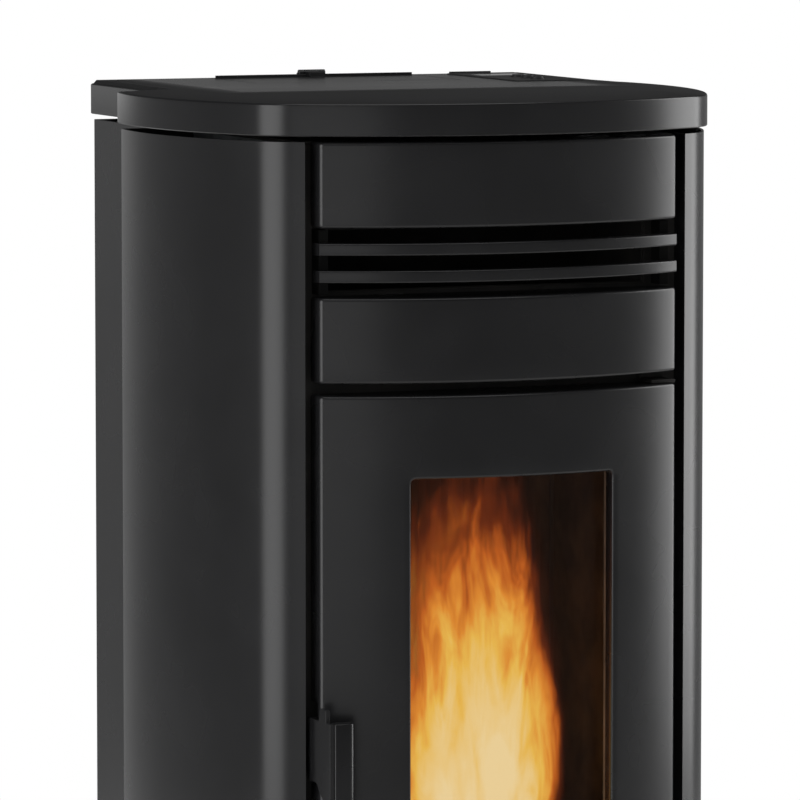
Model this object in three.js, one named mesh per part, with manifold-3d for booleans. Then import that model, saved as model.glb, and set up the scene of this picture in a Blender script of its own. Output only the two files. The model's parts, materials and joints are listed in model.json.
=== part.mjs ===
// Pellet stove with a barrel-shaped plan, a tall window door and a louvred warm-air outlet.
// Millimetres. X runs to the right, Y from the front to the back, Z up from the floor.
// Plan positions are written from the front of the cover, and the whole stove is centred at the end.

import * as THREE from 'three';
import { mergeVertices } from 'three/addons/utils/BufferGeometryUtils.js';
import Module from 'manifold-3d';

const wasm = await Module();
wasm.setup();

// ---------------------------------------------------------------- driving dimensions

const GAP = 0.3; // between pieces that rest on each other
const DEGREE = Math.PI / 180;

// plan of the cover
const STOVE_HEIGHT = 1103;
const FRONT_RADIUS = 368;
const FRONT_HALF_ANGLE = 31.9;
const CORNER_RADIUS = 50;
const CORNER_END_ANGLE = 62;
const SIDE_RADIUS = 380;
const SIDE_REAR = 327;
const CASING_HALF_WIDTH = 215;
const COVER_DEPTH = 492;
const FRONT_STEPS = 16;
const CORNER_STEPS = 5;
const SIDE_STEPS = 7;

// cover
const COVER_RIM = 28;
const COVER_WALL = 4;
const COVER_FALL = 3;
const COVER_BAND = 42;
const COVER_OVERHANG = 3;
const COVER_SHADOW_GAP = 5;

// front panels, from the top down
const SHEET = 2.5;
const PANEL_HALF_WIDTH = 169;
const PANEL_BACK = 64;
const PANEL_HEIGHT = 74;
const LOUVRE_SLOT = 13;
const SLAT_HEIGHT = 10.5;
const SLAT_DEPTH = 14;
const DOOR_TOP_GAP = 10.5;
const DOOR_HEIGHT = 558;
const DOOR_BOTTOM_GAP = 10.5;
const DRAWER_BOTTOM_GAP = 10.5;
const SIDE_FLANGE_GAP = 10.5;
const LUG_X = 120;
const LUG_THICKNESS = 4;
const SLAT_BRACKET_WIDTH = 8;

// door
const WINDOW_HALF_WIDTH = 95;
const WINDOW_HEIGHT = 336;
const WINDOW_TOP_DROP = 72;
const FRAME_FRONT = 30;
const FRAME_THICKNESS = 16;
const FRAME_HALF_WIDTH = 157;
const FRAME_EDGE = 10;
const FRAME_LIP = 4;
const GLASS_EDGE = 12;
const GLASS_THICKNESS = 4;
const GLASS_SEAL_THICKNESS = 1.4;
const RETAINER_LAP = 6;
const RETAINER_FLANGE = 5;
const DOOR_SEAL_OUTER = 139;
const DOOR_SEAL_WIDTH = 12;
const DOOR_SEAL_BELOW = 42;
const DOOR_SEAL_ABOVE = 30;
const HINGE_X = 157;
const HINGE_Y = 54;
const HINGE_PIN_RADIUS = 4;
const HINGE_CLEARANCE = 0.6;
const KNUCKLE_RADIUS = 8;
const KNUCKLE_LENGTH = 27;
const HINGE_PLATE = 3;
const HINGE_FOOT = 8;

// handle
const HANDLE_PIVOT_X = -158;
const HANDLE_PIVOT_Y = 56;
const HANDLE_PIN_RADIUS = 3;
const HANDLE_HUB_RADIUS = 6.5;
const HANDLE_NOTCH_DROP = 266;
const HANDLE_NOTCH_HEIGHT = 72;
const HANDLE_BAR_WIDTH = 20;
const HANDLE_BAR_DEPTH = 12;
const HANDLE_BAR_HEIGHT = 174;
const HANDLE_BAR_FRONT = 4;
const HANDLE_BAR_DROP = 13;
const HANDLE_ARM_X = -175.5;
const HANDLE_ARM_THICKNESS = 4;
const HANDLE_WEB = 8;
const TONGUE_THICKNESS = 6;
const TONGUE_REACH = 12;
const KEEPER_CLEARANCE = 2;

// chassis
const FOOT_HEIGHT = 22;
const FOOT_RADIUS = 20;
const FOOT_PAD = 10;
const FOOT_STEM_RADIUS = 5;
const FOOT_FRONT = [ 165, 105 ];
const FOOT_REAR = [ 170, 440 ];
const BASE_HEIGHT = 30;
const BASE_PLATE = 3;
const BASE_INSET = 15;
const FRONT_PLATE_Y = 72;
const FRONT_PLATE = 3;
const FRONT_PLATE_LAP = 8;
const CHASSIS_HALF_WIDTH = 177;
const CHASSIS_SHEET = 2;
const TOP_FRAME = 3;
const POST_RADIUS = 7;
const POST_FRONT = [ 150, 130 ];
const POST_REAR = [ 116, 440 ];

// firebox
const FIREBOX_HALF_WIDTH = 145;
const FIREBOX_FRONT = 56;
const FIREBOX_BACK = 254;
const FIREBOX_SILL = 9.5;
const FIREBOX_TOP_DROP = 36.5;
const FIREBOX_WALL = 4;
const MOUTH_LEDGE = 6;
const SHELF_DROP = 16.5;
const SHELF = 4;
const BACK_PLATE = 6;
const BACK_RIB = 4;
const BACK_RIBS = 13;
const BAFFLE_RISE = 5.5;
const BAFFLE = 8;
const DUCT_HALF_WIDTH = 152;
const DUCT_SHEET = 2;
const DUCT_BACK_GAP = 12;
const DUCT_SLOPE = [ 60, 70 ];
const POT_HALF_WIDTH = 52;
const POT_HALF_DEPTH = 42;
const POT_CENTRE_Y = 148;
const POT_WALL = 4;
const POT_DROP = 22;
const POT_RISE = 58;
const POT_TAPER = 10;
const POT_HOLE_RADIUS = 3;
const POT_HOLE_X = [ - 24, - 8, 8, 24 ];
const POT_HOLE_Y = [ - 14, 0, 14 ];
const POT_HOLE_RISE = [ 22, 38 ];
const ASH_SLOT_X = [ 78, 96, 114 ];
const ASH_SLOT_WIDTH = 10;
const POT_FLANGE = 7;
const IGNITER_RADIUS = 6;
const IGNITER_RISE = 12;

// ash drawer
const PAN_HALF_WIDTH = 122;
const PAN_BACK = 245;
const PAN_RISE = 88;
const PAN_SHEET = 2;
const PAN_OPENING_RISE = 8;
const DRAWER_SHELF_MARGIN = 12;

// hopper and its lid
const LID_HALF_WIDTH = 100;
const LID_FRONT = 368;
const LID_DEPTH = 112;
const LID_GAP = 1.5;
const LID_THICKNESS = 4;
const LID_KNUCKLE_RADIUS = 3;
const LID_KNUCKLE_WIDTH = 15;
const LID_LUG_WIDTH = 5;
const LID_PIN_RADIUS = 1.4;
const LID_SEAL = 3.4;
const HOPPER_SHEET = 2;
const HOPPER_FLANGE = 9;
const HOPPER_HALF_WIDTH = 165;
const HOPPER_FRONT = 262;
const HOPPER_REAR = 478;
const HOPPER_SHOULDER_DROP = 50;
const HOPPER_STORE = 283;
const GRID_DROP = 30;
const GRID_BARS = 7;
const GRID_BAR = 3;

// feed screw
const FEED_TILT = 35;
const FEED_START_Y = 400;
const FEED_DROP = 118;
const FEED_LENGTH = 200;
const FEED_TUBE_RADIUS = 32;
const FEED_TUBE_WALL = 3;
const FLIGHT_CLEARANCE = 2;
const FLIGHT_THICKNESS = 3;
const FLIGHT_PITCH = 42;
const FLIGHT_STEPS_PER_TURN = 10;
const FLIGHT_START = 8;
const FLIGHT_END = 16;
const SHAFT_RADIUS = 8;
const GEARBOX_SIZE = [ 60, 56, 34 ];
const GEARMOTOR_RADIUS = 26;
const GEARMOTOR_LENGTH = 38;
const FEED_INLET_HALF_WIDTH = 24;
const FEED_INLET_FRONT = 350;
const FEED_INLET_DEPTH = 50;
const FEED_INLET_RISE = 142;
const FEED_INLET_DEEP = 60;
const CHUTE_HALF_WIDTH = 36;
const CHUTE_CLEARANCE = 12;
const CHUTE_HEIGHT = 94;
const CHUTE_LENGTH = 62;
const CHUTE_RIDGE = [ 44, 10 ];
const CHUTE_HEEL = [ 8, 22 ];
const CHUTE_SILL = [ 14, 12 ];
const CHUTE_SHEET = 2;

// fans and pipes
const ROOM_FAN_Y = 420;
const ROOM_FAN_Z = 112;
const ROOM_FAN_LEFT = -160;
const ROOM_FAN_LENGTH = 150;
const ROOM_ROTOR_RADIUS = 30;
const ROOM_ROTOR_BLADES = 10;
const ROOM_BLADE_DEPTH = 9;
const ROOM_FAN_END_GAP = 6;
const ROOM_SHAFT_RADIUS = 4;
const ROOM_MOTOR_RADIUS = 22;
const ROOM_MOTOR_LENGTH = 42;
const ROOM_FAN_TIGHTENS = 9;
const FAN_SHEET = 2;
const ROOM_FAN_SCROLL = 44;
const SMOKE_FAN_X = 105;
const SMOKE_FAN_Y = 400;
const SMOKE_FAN_Z = 215;
const SMOKE_FAN_RADIUS = 75;
const SMOKE_FAN_HALF_WIDTH = 38;
const SMOKE_ROTOR_RADIUS = 58;
const SMOKE_ROTOR_BLADES = 10;
const SMOKE_FAN_SHEET = 2;
const SMOKE_INLET_RADIUS = 26;
const SMOKE_DUCT_WIDTH = 32;
const SMOKE_DUCT_REACH = 34;
const SMOKE_DUCT_RISE = 76;
const SMOKE_DUCT_FLAT = 70;
const MOTOR_RADIUS = 30;
const FLUE_RADIUS = 40;
const FLUE_WALL = 1.5;
const FLUE_LENGTH = 50;
const INTAKE_X = -100;
const INTAKE_RISE = 40;
const INTAKE_RADIUS = 25;
const INTAKE_LENGTH = 34;

// rear grille
const GRILLE_ROWS = 6;
const GRILLE_PITCH = 12;
const GRILLE_SLOT = [ 62, 5 ];

// controls
const CONTROL_LEFT = 132;
const CONTROL_WIDTH = 68;
const CONTROL_FRONT = 312;
const CONTROL_DEPTH = 160;
const CONTROL_PROUD = 1;
const BUTTON_OFFSET = 28;
const BUTTON_RADIUS = 6.5;
const BUTTON_PITCH = 22;
const BUTTON_COUNT = 3;
const BUTTON_CLEARANCE = 0.5;
const DISPLAY_OFFSET = 118;
const DISPLAY_SIZE = [ 48, 34 ];
const BOARD_Y = 300;
const BOARD_DROP = 210;
const BOARD_SIZE = 150;
const BOARD_THICKNESS = 2;
const BOARD_STANDOFF = 6;
const BOARD_POST_EDGE = 8;
const BOARD_POST_RADIUS = 3;
const BOARD_PARTS = [
	{ at: [ 20, 20 ], size: [ 24, 30, 14 ] }, { at: [ 60, 90 ], size: [ 18, 18, 10 ] },
	{ at: [ 100, 50 ], size: [ 30, 22, 12 ] }, { at: [ 22, 110 ], size: [ 40, 24, 9 ] },
];
const INLET_X = -150;
const INLET_Z = 250;
const INLET_SIZE = [ 32, 26 ];
const ROCKER_Z = 292;
const ROCKER_SIZE = [ 22, 28 ];
const ROCKER_CLEARANCE = 1.6;

// ---------------------------------------------------------------- places worked out from them

const PANEL_INSET = COVER_OVERHANG;
const COVER_UNDERSIDE = STOVE_HEIGHT - COVER_WALL;
const RIM_TOP = STOVE_HEIGHT - COVER_FALL;
const RIM_BOTTOM = RIM_TOP - COVER_RIM;
const BODY_TOP = RIM_BOTTOM - COVER_SHADOW_GAP;
const UPPER_PANEL_BOTTOM = BODY_TOP - PANEL_HEIGHT;
const SLAT_TOPS = [ UPPER_PANEL_BOTTOM - LOUVRE_SLOT,
	UPPER_PANEL_BOTTOM - 2 * LOUVRE_SLOT - SLAT_HEIGHT ];
const MIDDLE_PANEL_TOP = UPPER_PANEL_BOTTOM - 3 * LOUVRE_SLOT - 2 * SLAT_HEIGHT;
const MIDDLE_PANEL_BOTTOM = MIDDLE_PANEL_TOP - PANEL_HEIGHT;
const DOOR_TOP = MIDDLE_PANEL_BOTTOM - DOOR_TOP_GAP;
const DOOR_BOTTOM = DOOR_TOP - DOOR_HEIGHT;
const DRAWER_FRONT_TOP = DOOR_BOTTOM - DOOR_BOTTOM_GAP;
const SIDE_FLANGE_X = PANEL_HALF_WIDTH + SIDE_FLANGE_GAP;
const WINDOW_TOP = DOOR_TOP - WINDOW_TOP_DROP;
const WINDOW_BOTTOM = WINDOW_TOP - WINDOW_HEIGHT;
const FRAME_BACK = FRAME_FRONT + FRAME_THICKNESS;
const GLASS_FRONT = FRAME_FRONT + FRAME_LIP + GAP + GLASS_SEAL_THICKNESS + GAP;
const GLASS_BACK = GLASS_FRONT + GLASS_THICKNESS;
const NOTCH_TOP = DOOR_TOP - HANDLE_NOTCH_DROP;
const NOTCH_BOTTOM = NOTCH_TOP - HANDLE_NOTCH_HEIGHT;
const HANDLE_BAR_TOP = NOTCH_TOP - HANDLE_BAR_DROP;
const TONGUE_Z = ( NOTCH_TOP + NOTCH_BOTTOM ) / 2;
const BASE_TOP = FOOT_HEIGHT + BASE_HEIGHT;
const DRAWER_FRONT_BOTTOM = BASE_TOP + DRAWER_BOTTOM_GAP;
const SKIRT_BOTTOM = BASE_TOP + GAP;
const FRONT_PLATE_BACK = FRONT_PLATE_Y + FRONT_PLATE;
const CASING_INSET = COVER_OVERHANG;
const CASING_X = CASING_HALF_WIDTH - CASING_INSET;
const CASING_BACK = COVER_DEPTH - 2;
const CASING_BACK_INNER = CASING_BACK - CHASSIS_SHEET;
const TOP_FRAME_TOP = BODY_TOP - GAP;
const TOP_FRAME_BOTTOM = TOP_FRAME_TOP - TOP_FRAME;
const FIREBOX_BOTTOM = DOOR_BOTTOM + FIREBOX_SILL;
const FIREBOX_TOP = DOOR_TOP - FIREBOX_TOP_DROP;
const SHELF_Z = WINDOW_BOTTOM - SHELF_DROP;
const SHELF_TOP = SHELF_Z + SHELF;
const BAFFLE_Z = WINDOW_TOP + BAFFLE_RISE;
const POT_FLOOR_Z = SHELF_Z - POT_DROP;
const POT_RIM_Z = SHELF_TOP + POT_RISE;
const IGNITER_Z = POT_FLOOR_Z + IGNITER_RISE;
const INTAKE_Z = FIREBOX_BOTTOM + INTAKE_RISE;
const PAN_BOTTOM = BASE_TOP + PAN_RISE;
const PAN_TOP = DRAWER_FRONT_TOP - 1;
const FIREBOX_INNER_X = FIREBOX_HALF_WIDTH - FIREBOX_WALL;
const FIREBOX_INNER_BACK = FIREBOX_BACK - FIREBOX_WALL;
const MOUTH_X = DOOR_SEAL_OUTER - DOOR_SEAL_WIDTH - 1;
const LID_REAR = LID_FRONT + LID_DEPTH;
const LID_AXIS_Y = LID_REAR + LID_KNUCKLE_RADIUS;
const LID_AXIS_Z = STOVE_HEIGHT + LID_KNUCKLE_RADIUS + GAP;
const HOPPER_TOP = COVER_UNDERSIDE - LID_SEAL - 2 * GAP;
const NECK_X = LID_HALF_WIDTH - HOPPER_FLANGE - 1;
const NECK_FRONT = LID_FRONT + HOPPER_FLANGE;
const NECK_REAR = LID_REAR - HOPPER_FLANGE;
const HOPPER_SHOULDER = STOVE_HEIGHT - HOPPER_SHOULDER_DROP;
const HOPPER_FUNNEL_Z = HOPPER_SHOULDER - HOPPER_STORE;
const BOARD_Z = HOPPER_FUNNEL_Z - BOARD_DROP;
const CHUTE_BOTTOM = POT_RIM_Z + CHUTE_CLEARANCE;
const CHUTE_TOP = CHUTE_BOTTOM + CHUTE_HEIGHT;
const CHUTE_REAR = FIREBOX_BACK + CHUTE_LENGTH;
const FEED_START_Z = CHUTE_BOTTOM - FEED_DROP;
const FEED_INLET_TOP = FEED_START_Z + FEED_INLET_RISE;
const FLUE_Z = SMOKE_FAN_Z + SMOKE_FAN_RADIUS - SMOKE_FAN_HALF_WIDTH;
const OVERALL_DEPTH = CASING_BACK + FLUE_LENGTH;

// ---------------------------------------------------------------- colours

function finish( color, roughness, metalness = 0 ) {

	return new THREE.MeshStandardMaterial( { color, roughness, metalness } );

}

const blackPaint = () => finish( 0x2b2b2c, 0.42, 0.2 );
const darkSteel = () => finish( 0x3a3a3a, 0.55, 0.4 );
const castIron = () => finish( 0x2e2b28, 0.75, 0.3 );
const barePlate = () => finish( 0x9a9c9c, 0.45, 0.8 );
const ropeGrey = () => finish( 0x6f6c66, 0.95 );
const blackPlastic = () => finish( 0x1d1d1f, 0.5 );

// ---------------------------------------------------------------- solids

// A closed geometry becomes a solid that can be joined and cut.
function solid( geometry ) {

	const loose = geometry.index ? geometry.toNonIndexed() : geometry.clone();
	loose.deleteAttribute( 'normal' );
	loose.deleteAttribute( 'uv' );
	const closed = mergeVertices( loose, 1e-4 );
	return new wasm.Manifold( new wasm.Mesh( {
		numProp: 3,
		vertProperties: Float32Array.from( closed.attributes.position.array ),
		triVerts: Uint32Array.from( closed.index.array ),
	} ) );

}

function join( first, ...others ) {

	return others.reduce( ( whole, piece ) => whole.add( piece ), first );

}

function cut( whole, ...tools ) {

	return tools.reduce( ( rest, tool ) => rest.subtract( tool ), whole );

}

const stove = new THREE.Group();

function place( name, body, material, parent = stove ) {

	const { vertProperties, triVerts } = body.getMesh();
	const geometry = new THREE.BufferGeometry();
	geometry.setAttribute( 'position', new THREE.BufferAttribute( vertProperties, 3 ) );
	geometry.setIndex( new THREE.BufferAttribute( triVerts, 1 ) );
	geometry.computeVertexNormals();
	const mesh = new THREE.Mesh( geometry, material );
	mesh.name = name;
	parent.add( mesh );

}

function box( [ x0, x1 ], [ y0, y1 ], [ z0, z1 ] ) {

	const geometry = new THREE.BoxGeometry( x1 - x0, y1 - y0, z1 - z0 );
	geometry.translate( ( x0 + x1 ) / 2, ( y0 + y1 ) / 2, ( z0 + z1 ) / 2 );
	return solid( geometry );

}

// An upright prism over a closed outline in plan.
function prism( outline, [ z0, z1 ] ) {

	const geometry = new THREE.ExtrudeGeometry( new THREE.Shape( outline ),
		{ depth: z1 - z0, bevelEnabled: false } );
	return solid( geometry.translate( 0, 0, z0 ) );

}

// A prism over a closed outline in the Y-Z plane, running along X.
function sidePrism( outline, [ x0, x1 ] ) {

	const shape = new THREE.Shape( outline.map( ( [ y, z ] ) => new THREE.Vector2( y, z ) ) );
	const geometry = new THREE.ExtrudeGeometry( shape, { depth: x1 - x0, bevelEnabled: false } );
	geometry.applyMatrix4( new THREE.Matrix4().makeBasis(
		new THREE.Vector3( 0, 1, 0 ), new THREE.Vector3( 0, 0, 1 ), new THREE.Vector3( 1, 0, 0 ) ) );
	return solid( geometry.translate( x0, 0, 0 ) );

}

// A solid between two outlines of as many points, one above the other.
function loft( low, zLow, high, zHigh ) {

	const points = [ ...low.map( ( p ) => [ p.x, p.y, zLow ] ),
		...high.map( ( p ) => [ p.x, p.y, zHigh ] ) ];
	const count = low.length;
	const faces = [];
	for ( const [ a, b, c ] of THREE.ShapeUtils.triangulateShape( low, [] ) ) faces.push( c, b, a );
	for ( const [ a, b, c ] of THREE.ShapeUtils.triangulateShape( high, [] ) ) {

		faces.push( a + count, b + count, c + count );

	}

	for ( let i = 0; i < count; i ++ ) {

		const next = ( i + 1 ) % count;
		faces.push( i, next, next + count, i, next + count, i + count );

	}

	const geometry = new THREE.BufferGeometry();
	geometry.setAttribute( 'position', new THREE.Float32BufferAttribute( points.flat(), 3 ) );
	geometry.setIndex( faces );
	return solid( geometry );

}

const rectangle = ( halfWidth, front, rear ) => [
	new THREE.Vector2( - halfWidth, front ), new THREE.Vector2( halfWidth, front ),
	new THREE.Vector2( halfWidth, rear ), new THREE.Vector2( - halfWidth, rear ),
];

// A cylinder along one axis: centre holds the other two coordinates, in X, Y, Z order.
function rod( axis, radius, [ from, to ], centre, sides = 18 ) {

	const geometry = new THREE.CylinderGeometry( radius, radius, to - from, sides );
	const middle = ( from + to ) / 2;
	if ( axis === 'x' ) geometry.rotateZ( - Math.PI / 2 ).translate( middle, centre[ 0 ], centre[ 1 ] );
	if ( axis === 'y' ) geometry.translate( centre[ 0 ], middle, centre[ 1 ] );
	if ( axis === 'z' ) geometry.rotateX( Math.PI / 2 ).translate( centre[ 0 ], centre[ 1 ], middle );
	return solid( geometry );

}

function pipe( axis, radius, wall, [ from, to ], centre, sides = 24 ) {

	return cut( rod( axis, radius, [ from, to ], centre, sides ),
		rod( axis, radius - wall, [ from - 1, to + 1 ], centre, sides ) );

}

const span = ( start, length ) => [ start, start + length ];
const about = ( middle, half ) => [ middle - half, middle + half ];

// ---------------------------------------------------------------- the barrel-shaped plan

// Three tangent arcs make half of the plan: the wide front, the tight corner and the bowed side.
// The angle is 0 straight to the front and grows towards the back.
const frontCentre = new THREE.Vector2( 0, FRONT_RADIUS );
const outward = ( angle ) => new THREE.Vector2( Math.sin( angle * DEGREE ),
	- Math.cos( angle * DEGREE ) );
const cornerCentre = frontCentre.clone().addScaledVector( outward( FRONT_HALF_ANGLE ),
	FRONT_RADIUS - CORNER_RADIUS );
const sideCentre = cornerCentre.clone().addScaledVector( outward( CORNER_END_ANGLE ),
	CORNER_RADIUS - SIDE_RADIUS );

function arc( centre, radius, from, to, steps ) {

	return Array.from( { length: steps + 1 }, ( _, i ) =>
		centre.clone().addScaledVector( outward( from + ( to - from ) * i / steps ), radius ) );

}

// The right half of the plan from one X to the rear of the side panels, moved inwards by inset.
function sideCurve( inset, fromX = 0 ) {

	const radius = SIDE_RADIUS - inset;
	const end = Math.acos( ( sideCentre.y - SIDE_REAR + inset ) / radius ) / DEGREE;
	const whole = [
		...arc( frontCentre, FRONT_RADIUS - inset, 0, FRONT_HALF_ANGLE, FRONT_STEPS / 2 ),
		...arc( cornerCentre, CORNER_RADIUS - inset, FRONT_HALF_ANGLE, CORNER_END_ANGLE,
			CORNER_STEPS ).slice( 1 ),
		...arc( sideCentre, radius, CORNER_END_ANGLE, end, SIDE_STEPS ).slice( 1 ),
	];
	if ( fromX === 0 ) return whole;
	const next = whole.findIndex( ( p ) => p.x > fromX + 1 );
	const [ before, after ] = [ whole[ next - 1 ], whole[ next ] ];
	const first = before.clone().lerp( after, ( fromX - before.x ) / ( after.x - before.x ) );
	return [ first, ...whole.slice( next ) ];

}

const mirrored = ( points ) => points.map( ( p ) => new THREE.Vector2( - p.x, p.y ) ).reverse();

// The whole plan, moved inwards by inset, and by another value around its square rear part.
function plan( inset, rearInset = inset ) {

	const right = [
		...sideCurve( inset ),
		new THREE.Vector2( CASING_HALF_WIDTH - rearInset, SIDE_REAR - rearInset ),
		new THREE.Vector2( CASING_HALF_WIDTH - rearInset, COVER_DEPTH - rearInset ),
	];
	return [ ...right, ...mirrored( right.slice( 1 ) ) ];

}

// A front curve between two sides, closed by a straight back.
function frontShape( inset, halfWidth, back ) {

	const half = Math.asin( halfWidth / ( FRONT_RADIUS - inset ) ) / DEGREE;
	return [
		...arc( frontCentre, FRONT_RADIUS - inset, - half, half, FRONT_STEPS ),
		new THREE.Vector2( halfWidth, back ), new THREE.Vector2( - halfWidth, back ),
	];

}

// A pan pressed from sheet: a curved front with four sides folded back.
function foldedFront( [ z0, z1 ] ) {

	const shell = prism( frontShape( PANEL_INSET, PANEL_HALF_WIDTH, PANEL_BACK ), [ z0, z1 ] );
	const inside = frontShape( PANEL_INSET + SHEET, PANEL_HALF_WIDTH - SHEET, PANEL_BACK + 1 );
	return cut( shell, prism( inside, [ z0 + SHEET, z1 - SHEET ] ) );

}

// ---------------------------------------------------------------- cover, lid and controls

const controlX = span( CONTROL_LEFT, CONTROL_WIDTH );
const controlY = span( CONTROL_FRONT, CONTROL_DEPTH );
const grown = ( [ low, high ], by ) => [ low - by, high + by ];
const lidX = about( 0, LID_HALF_WIDTH );
const lidY = [ LID_FRONT, LID_REAR ];

function lidLug( side ) {

	const start = side > 0 ? LID_KNUCKLE_WIDTH / 2 + GAP : - LID_KNUCKLE_WIDTH / 2 - GAP - LID_LUG_WIDTH;
	const lugX = span( start, LID_LUG_WIDTH );
	const foot = box( lugX, [ LID_REAR + LID_GAP, LID_REAR + 8 ], [ COVER_UNDERSIDE + 1, LID_AXIS_Z ] );
	return join( foot, rod( 'x', LID_KNUCKLE_RADIUS, lugX, [ LID_AXIS_Y, LID_AXIS_Z ], 16 ) );

}

// The top falls gently from a flat middle to the rim, and the rim turns down all round.
function topCover() {

	const skin = join( prism( plan( 0 ), [ RIM_BOTTOM, RIM_TOP ] ),
		loft( plan( 0 ), RIM_TOP - 0.01, plan( COVER_BAND, COVER_WALL ), STOVE_HEIGHT ) );
	const hollow = join( prism( plan( COVER_WALL ), [ RIM_BOTTOM - 1, RIM_TOP - COVER_WALL ] ),
		loft( plan( COVER_WALL ), RIM_TOP - COVER_WALL - 0.01,
			plan( COVER_BAND + COVER_WALL, 2 * COVER_WALL ), COVER_UNDERSIDE ) );
	const through = about( STOVE_HEIGHT, COVER_RIM );
	const opened = cut( skin, hollow, box( grown( lidX, LID_GAP ), grown( lidY, LID_GAP ), through ),
		box( grown( controlX, 1 ), grown( controlY, 1 ), through ) );
	return cut( join( opened, lidLug( 1 ), lidLug( - 1 ) ),
		rod( 'x', LID_PIN_RADIUS + GAP, about( 0, 20 ), [ LID_AXIS_Y, LID_AXIS_Z ], 12 ) );

}

function hopperLid() {

	const plate = box( lidX, lidY, [ STOVE_HEIGHT - LID_THICKNESS, STOVE_HEIGHT ] );
	const knuckleX = about( 0, LID_KNUCKLE_WIDTH / 2 );
	const web = box( knuckleX, [ LID_REAR - 12, LID_REAR + 1 ], [ STOVE_HEIGHT + GAP, LID_AXIS_Z + 1 ] );
	const root = box( knuckleX, [ LID_REAR - 12, LID_REAR ], [ STOVE_HEIGHT - 1, STOVE_HEIGHT + 1 ] );
	const knuckle = rod( 'x', LID_KNUCKLE_RADIUS, knuckleX, [ LID_AXIS_Y, LID_AXIS_Z ], 16 );
	return cut( join( plate, root, web, knuckle ),
		rod( 'x', LID_PIN_RADIUS + GAP, about( 0, 20 ), [ LID_AXIS_Y, LID_AXIS_Z ], 12 ) );

}

function lidSeal() {

	const height = span( HOPPER_TOP + GAP, LID_SEAL );
	return cut( box( about( 0, NECK_X + HOPPER_FLANGE - 1 ), [ NECK_FRONT - 8, NECK_REAR + 8 ], height ),
		box( about( 0, NECK_X ), [ NECK_FRONT, NECK_REAR ], grown( height, 1 ) ) );

}

const buttonX = CONTROL_LEFT + CONTROL_WIDTH / 2;
const buttonY = ( index ) => CONTROL_FRONT + BUTTON_OFFSET + index * BUTTON_PITCH;
const displayX = about( buttonX, DISPLAY_SIZE[ 0 ] / 2 );
const displayY = about( CONTROL_FRONT + DISPLAY_OFFSET, DISPLAY_SIZE[ 1 ] / 2 );
const controlTop = STOVE_HEIGHT + CONTROL_PROUD;

function controlPanel() {

	const face = box( controlX, controlY, [ controlTop - 4, controlTop ] );
	const tray = box( grown( controlX, - 4 ), grown( controlY, - 4 ), [ BODY_TOP, controlTop - 3 ] );
	const wells = Array.from( { length: BUTTON_COUNT }, ( _, i ) =>
		rod( 'z', BUTTON_RADIUS + BUTTON_CLEARANCE, [ controlTop - 12, controlTop + 1 ],
			[ buttonX, buttonY( i ) ] ) );
	const recess = box( grown( displayX, GAP ), grown( displayY, GAP ), [ controlTop - 2, controlTop + 1 ] );
	return cut( join( face, tray ), ...wells, recess );

}

function pushButton( index ) {

	const centre = [ buttonX, buttonY( index ) ];
	return join( rod( 'z', BUTTON_RADIUS, [ controlTop - 10, controlTop + 1 ], centre ),
		rod( 'z', BUTTON_RADIUS - 1, [ controlTop, controlTop + 2 ], centre ) );

}

// ---------------------------------------------------------------- outer panels

function sidePanel( side ) {

	const outer = sideCurve( PANEL_INSET, SIDE_FLANGE_X );
	const inner = sideCurve( PANEL_INSET + SHEET, SIDE_FLANGE_X + SHEET );
	const rear = SIDE_REAR - PANEL_INSET;
	const sheet = [
		new THREE.Vector2( SIDE_FLANGE_X, FRONT_PLATE_Y - GAP ), ...outer,
		new THREE.Vector2( CASING_X + GAP, rear ), new THREE.Vector2( CASING_X + GAP, rear - SHEET ),
		...inner.reverse(), new THREE.Vector2( SIDE_FLANGE_X + SHEET, FRONT_PLATE_Y - GAP ),
	];
	return prism( side > 0 ? sheet : mirrored( sheet ), [ SKIRT_BOTTOM, BODY_TOP ] );

}

// A fixed front panel carries two lugs that reach back to the chassis.
function fixedFrontPanel( [ z0, z1 ] ) {

	const lugs = [ - LUG_X, LUG_X ].map( ( x ) => box( about( x, LUG_THICKNESS / 2 ),
		[ PANEL_BACK / 2, FRONT_PLATE_Y - GAP ], [ z0 + SHEET - 1, z1 - SHEET + 1 ] ) );
	return join( foldedFront( [ z0, z1 ] ), ...lugs );

}

function louvre() {

	const depth = PANEL_INSET + SLAT_DEPTH;
	const slats = SLAT_TOPS.map( ( top ) => cut(
		prism( frontShape( PANEL_INSET, PANEL_HALF_WIDTH, PANEL_BACK ), [ top - SLAT_HEIGHT, top ] ),
		prism( frontShape( depth, PANEL_HALF_WIDTH + 1, PANEL_BACK + SLAT_DEPTH ),
			[ top - SLAT_HEIGHT - 1, top + 1 ] ) ) );
	const reach = [ PANEL_BACK - 12, FRONT_PLATE_Y - GAP ];
	const brackets = [ - 1, 1 ].map( ( side ) => box(
		about( side * ( PANEL_HALF_WIDTH - SLAT_BRACKET_WIDTH ), SLAT_BRACKET_WIDTH / 2 ),
		reach, [ MIDDLE_PANEL_TOP + 1, UPPER_PANEL_BOTTOM - 1 ] ) );
	return join( slats[ 0 ], slats[ 1 ], ...brackets );

}

// ---------------------------------------------------------------- door

const windowX = about( 0, WINDOW_HALF_WIDTH );
const windowZ = [ WINDOW_BOTTOM, WINDOW_TOP ];
const throughDoor = [ - 1, PANEL_BACK + 1 ];

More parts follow.
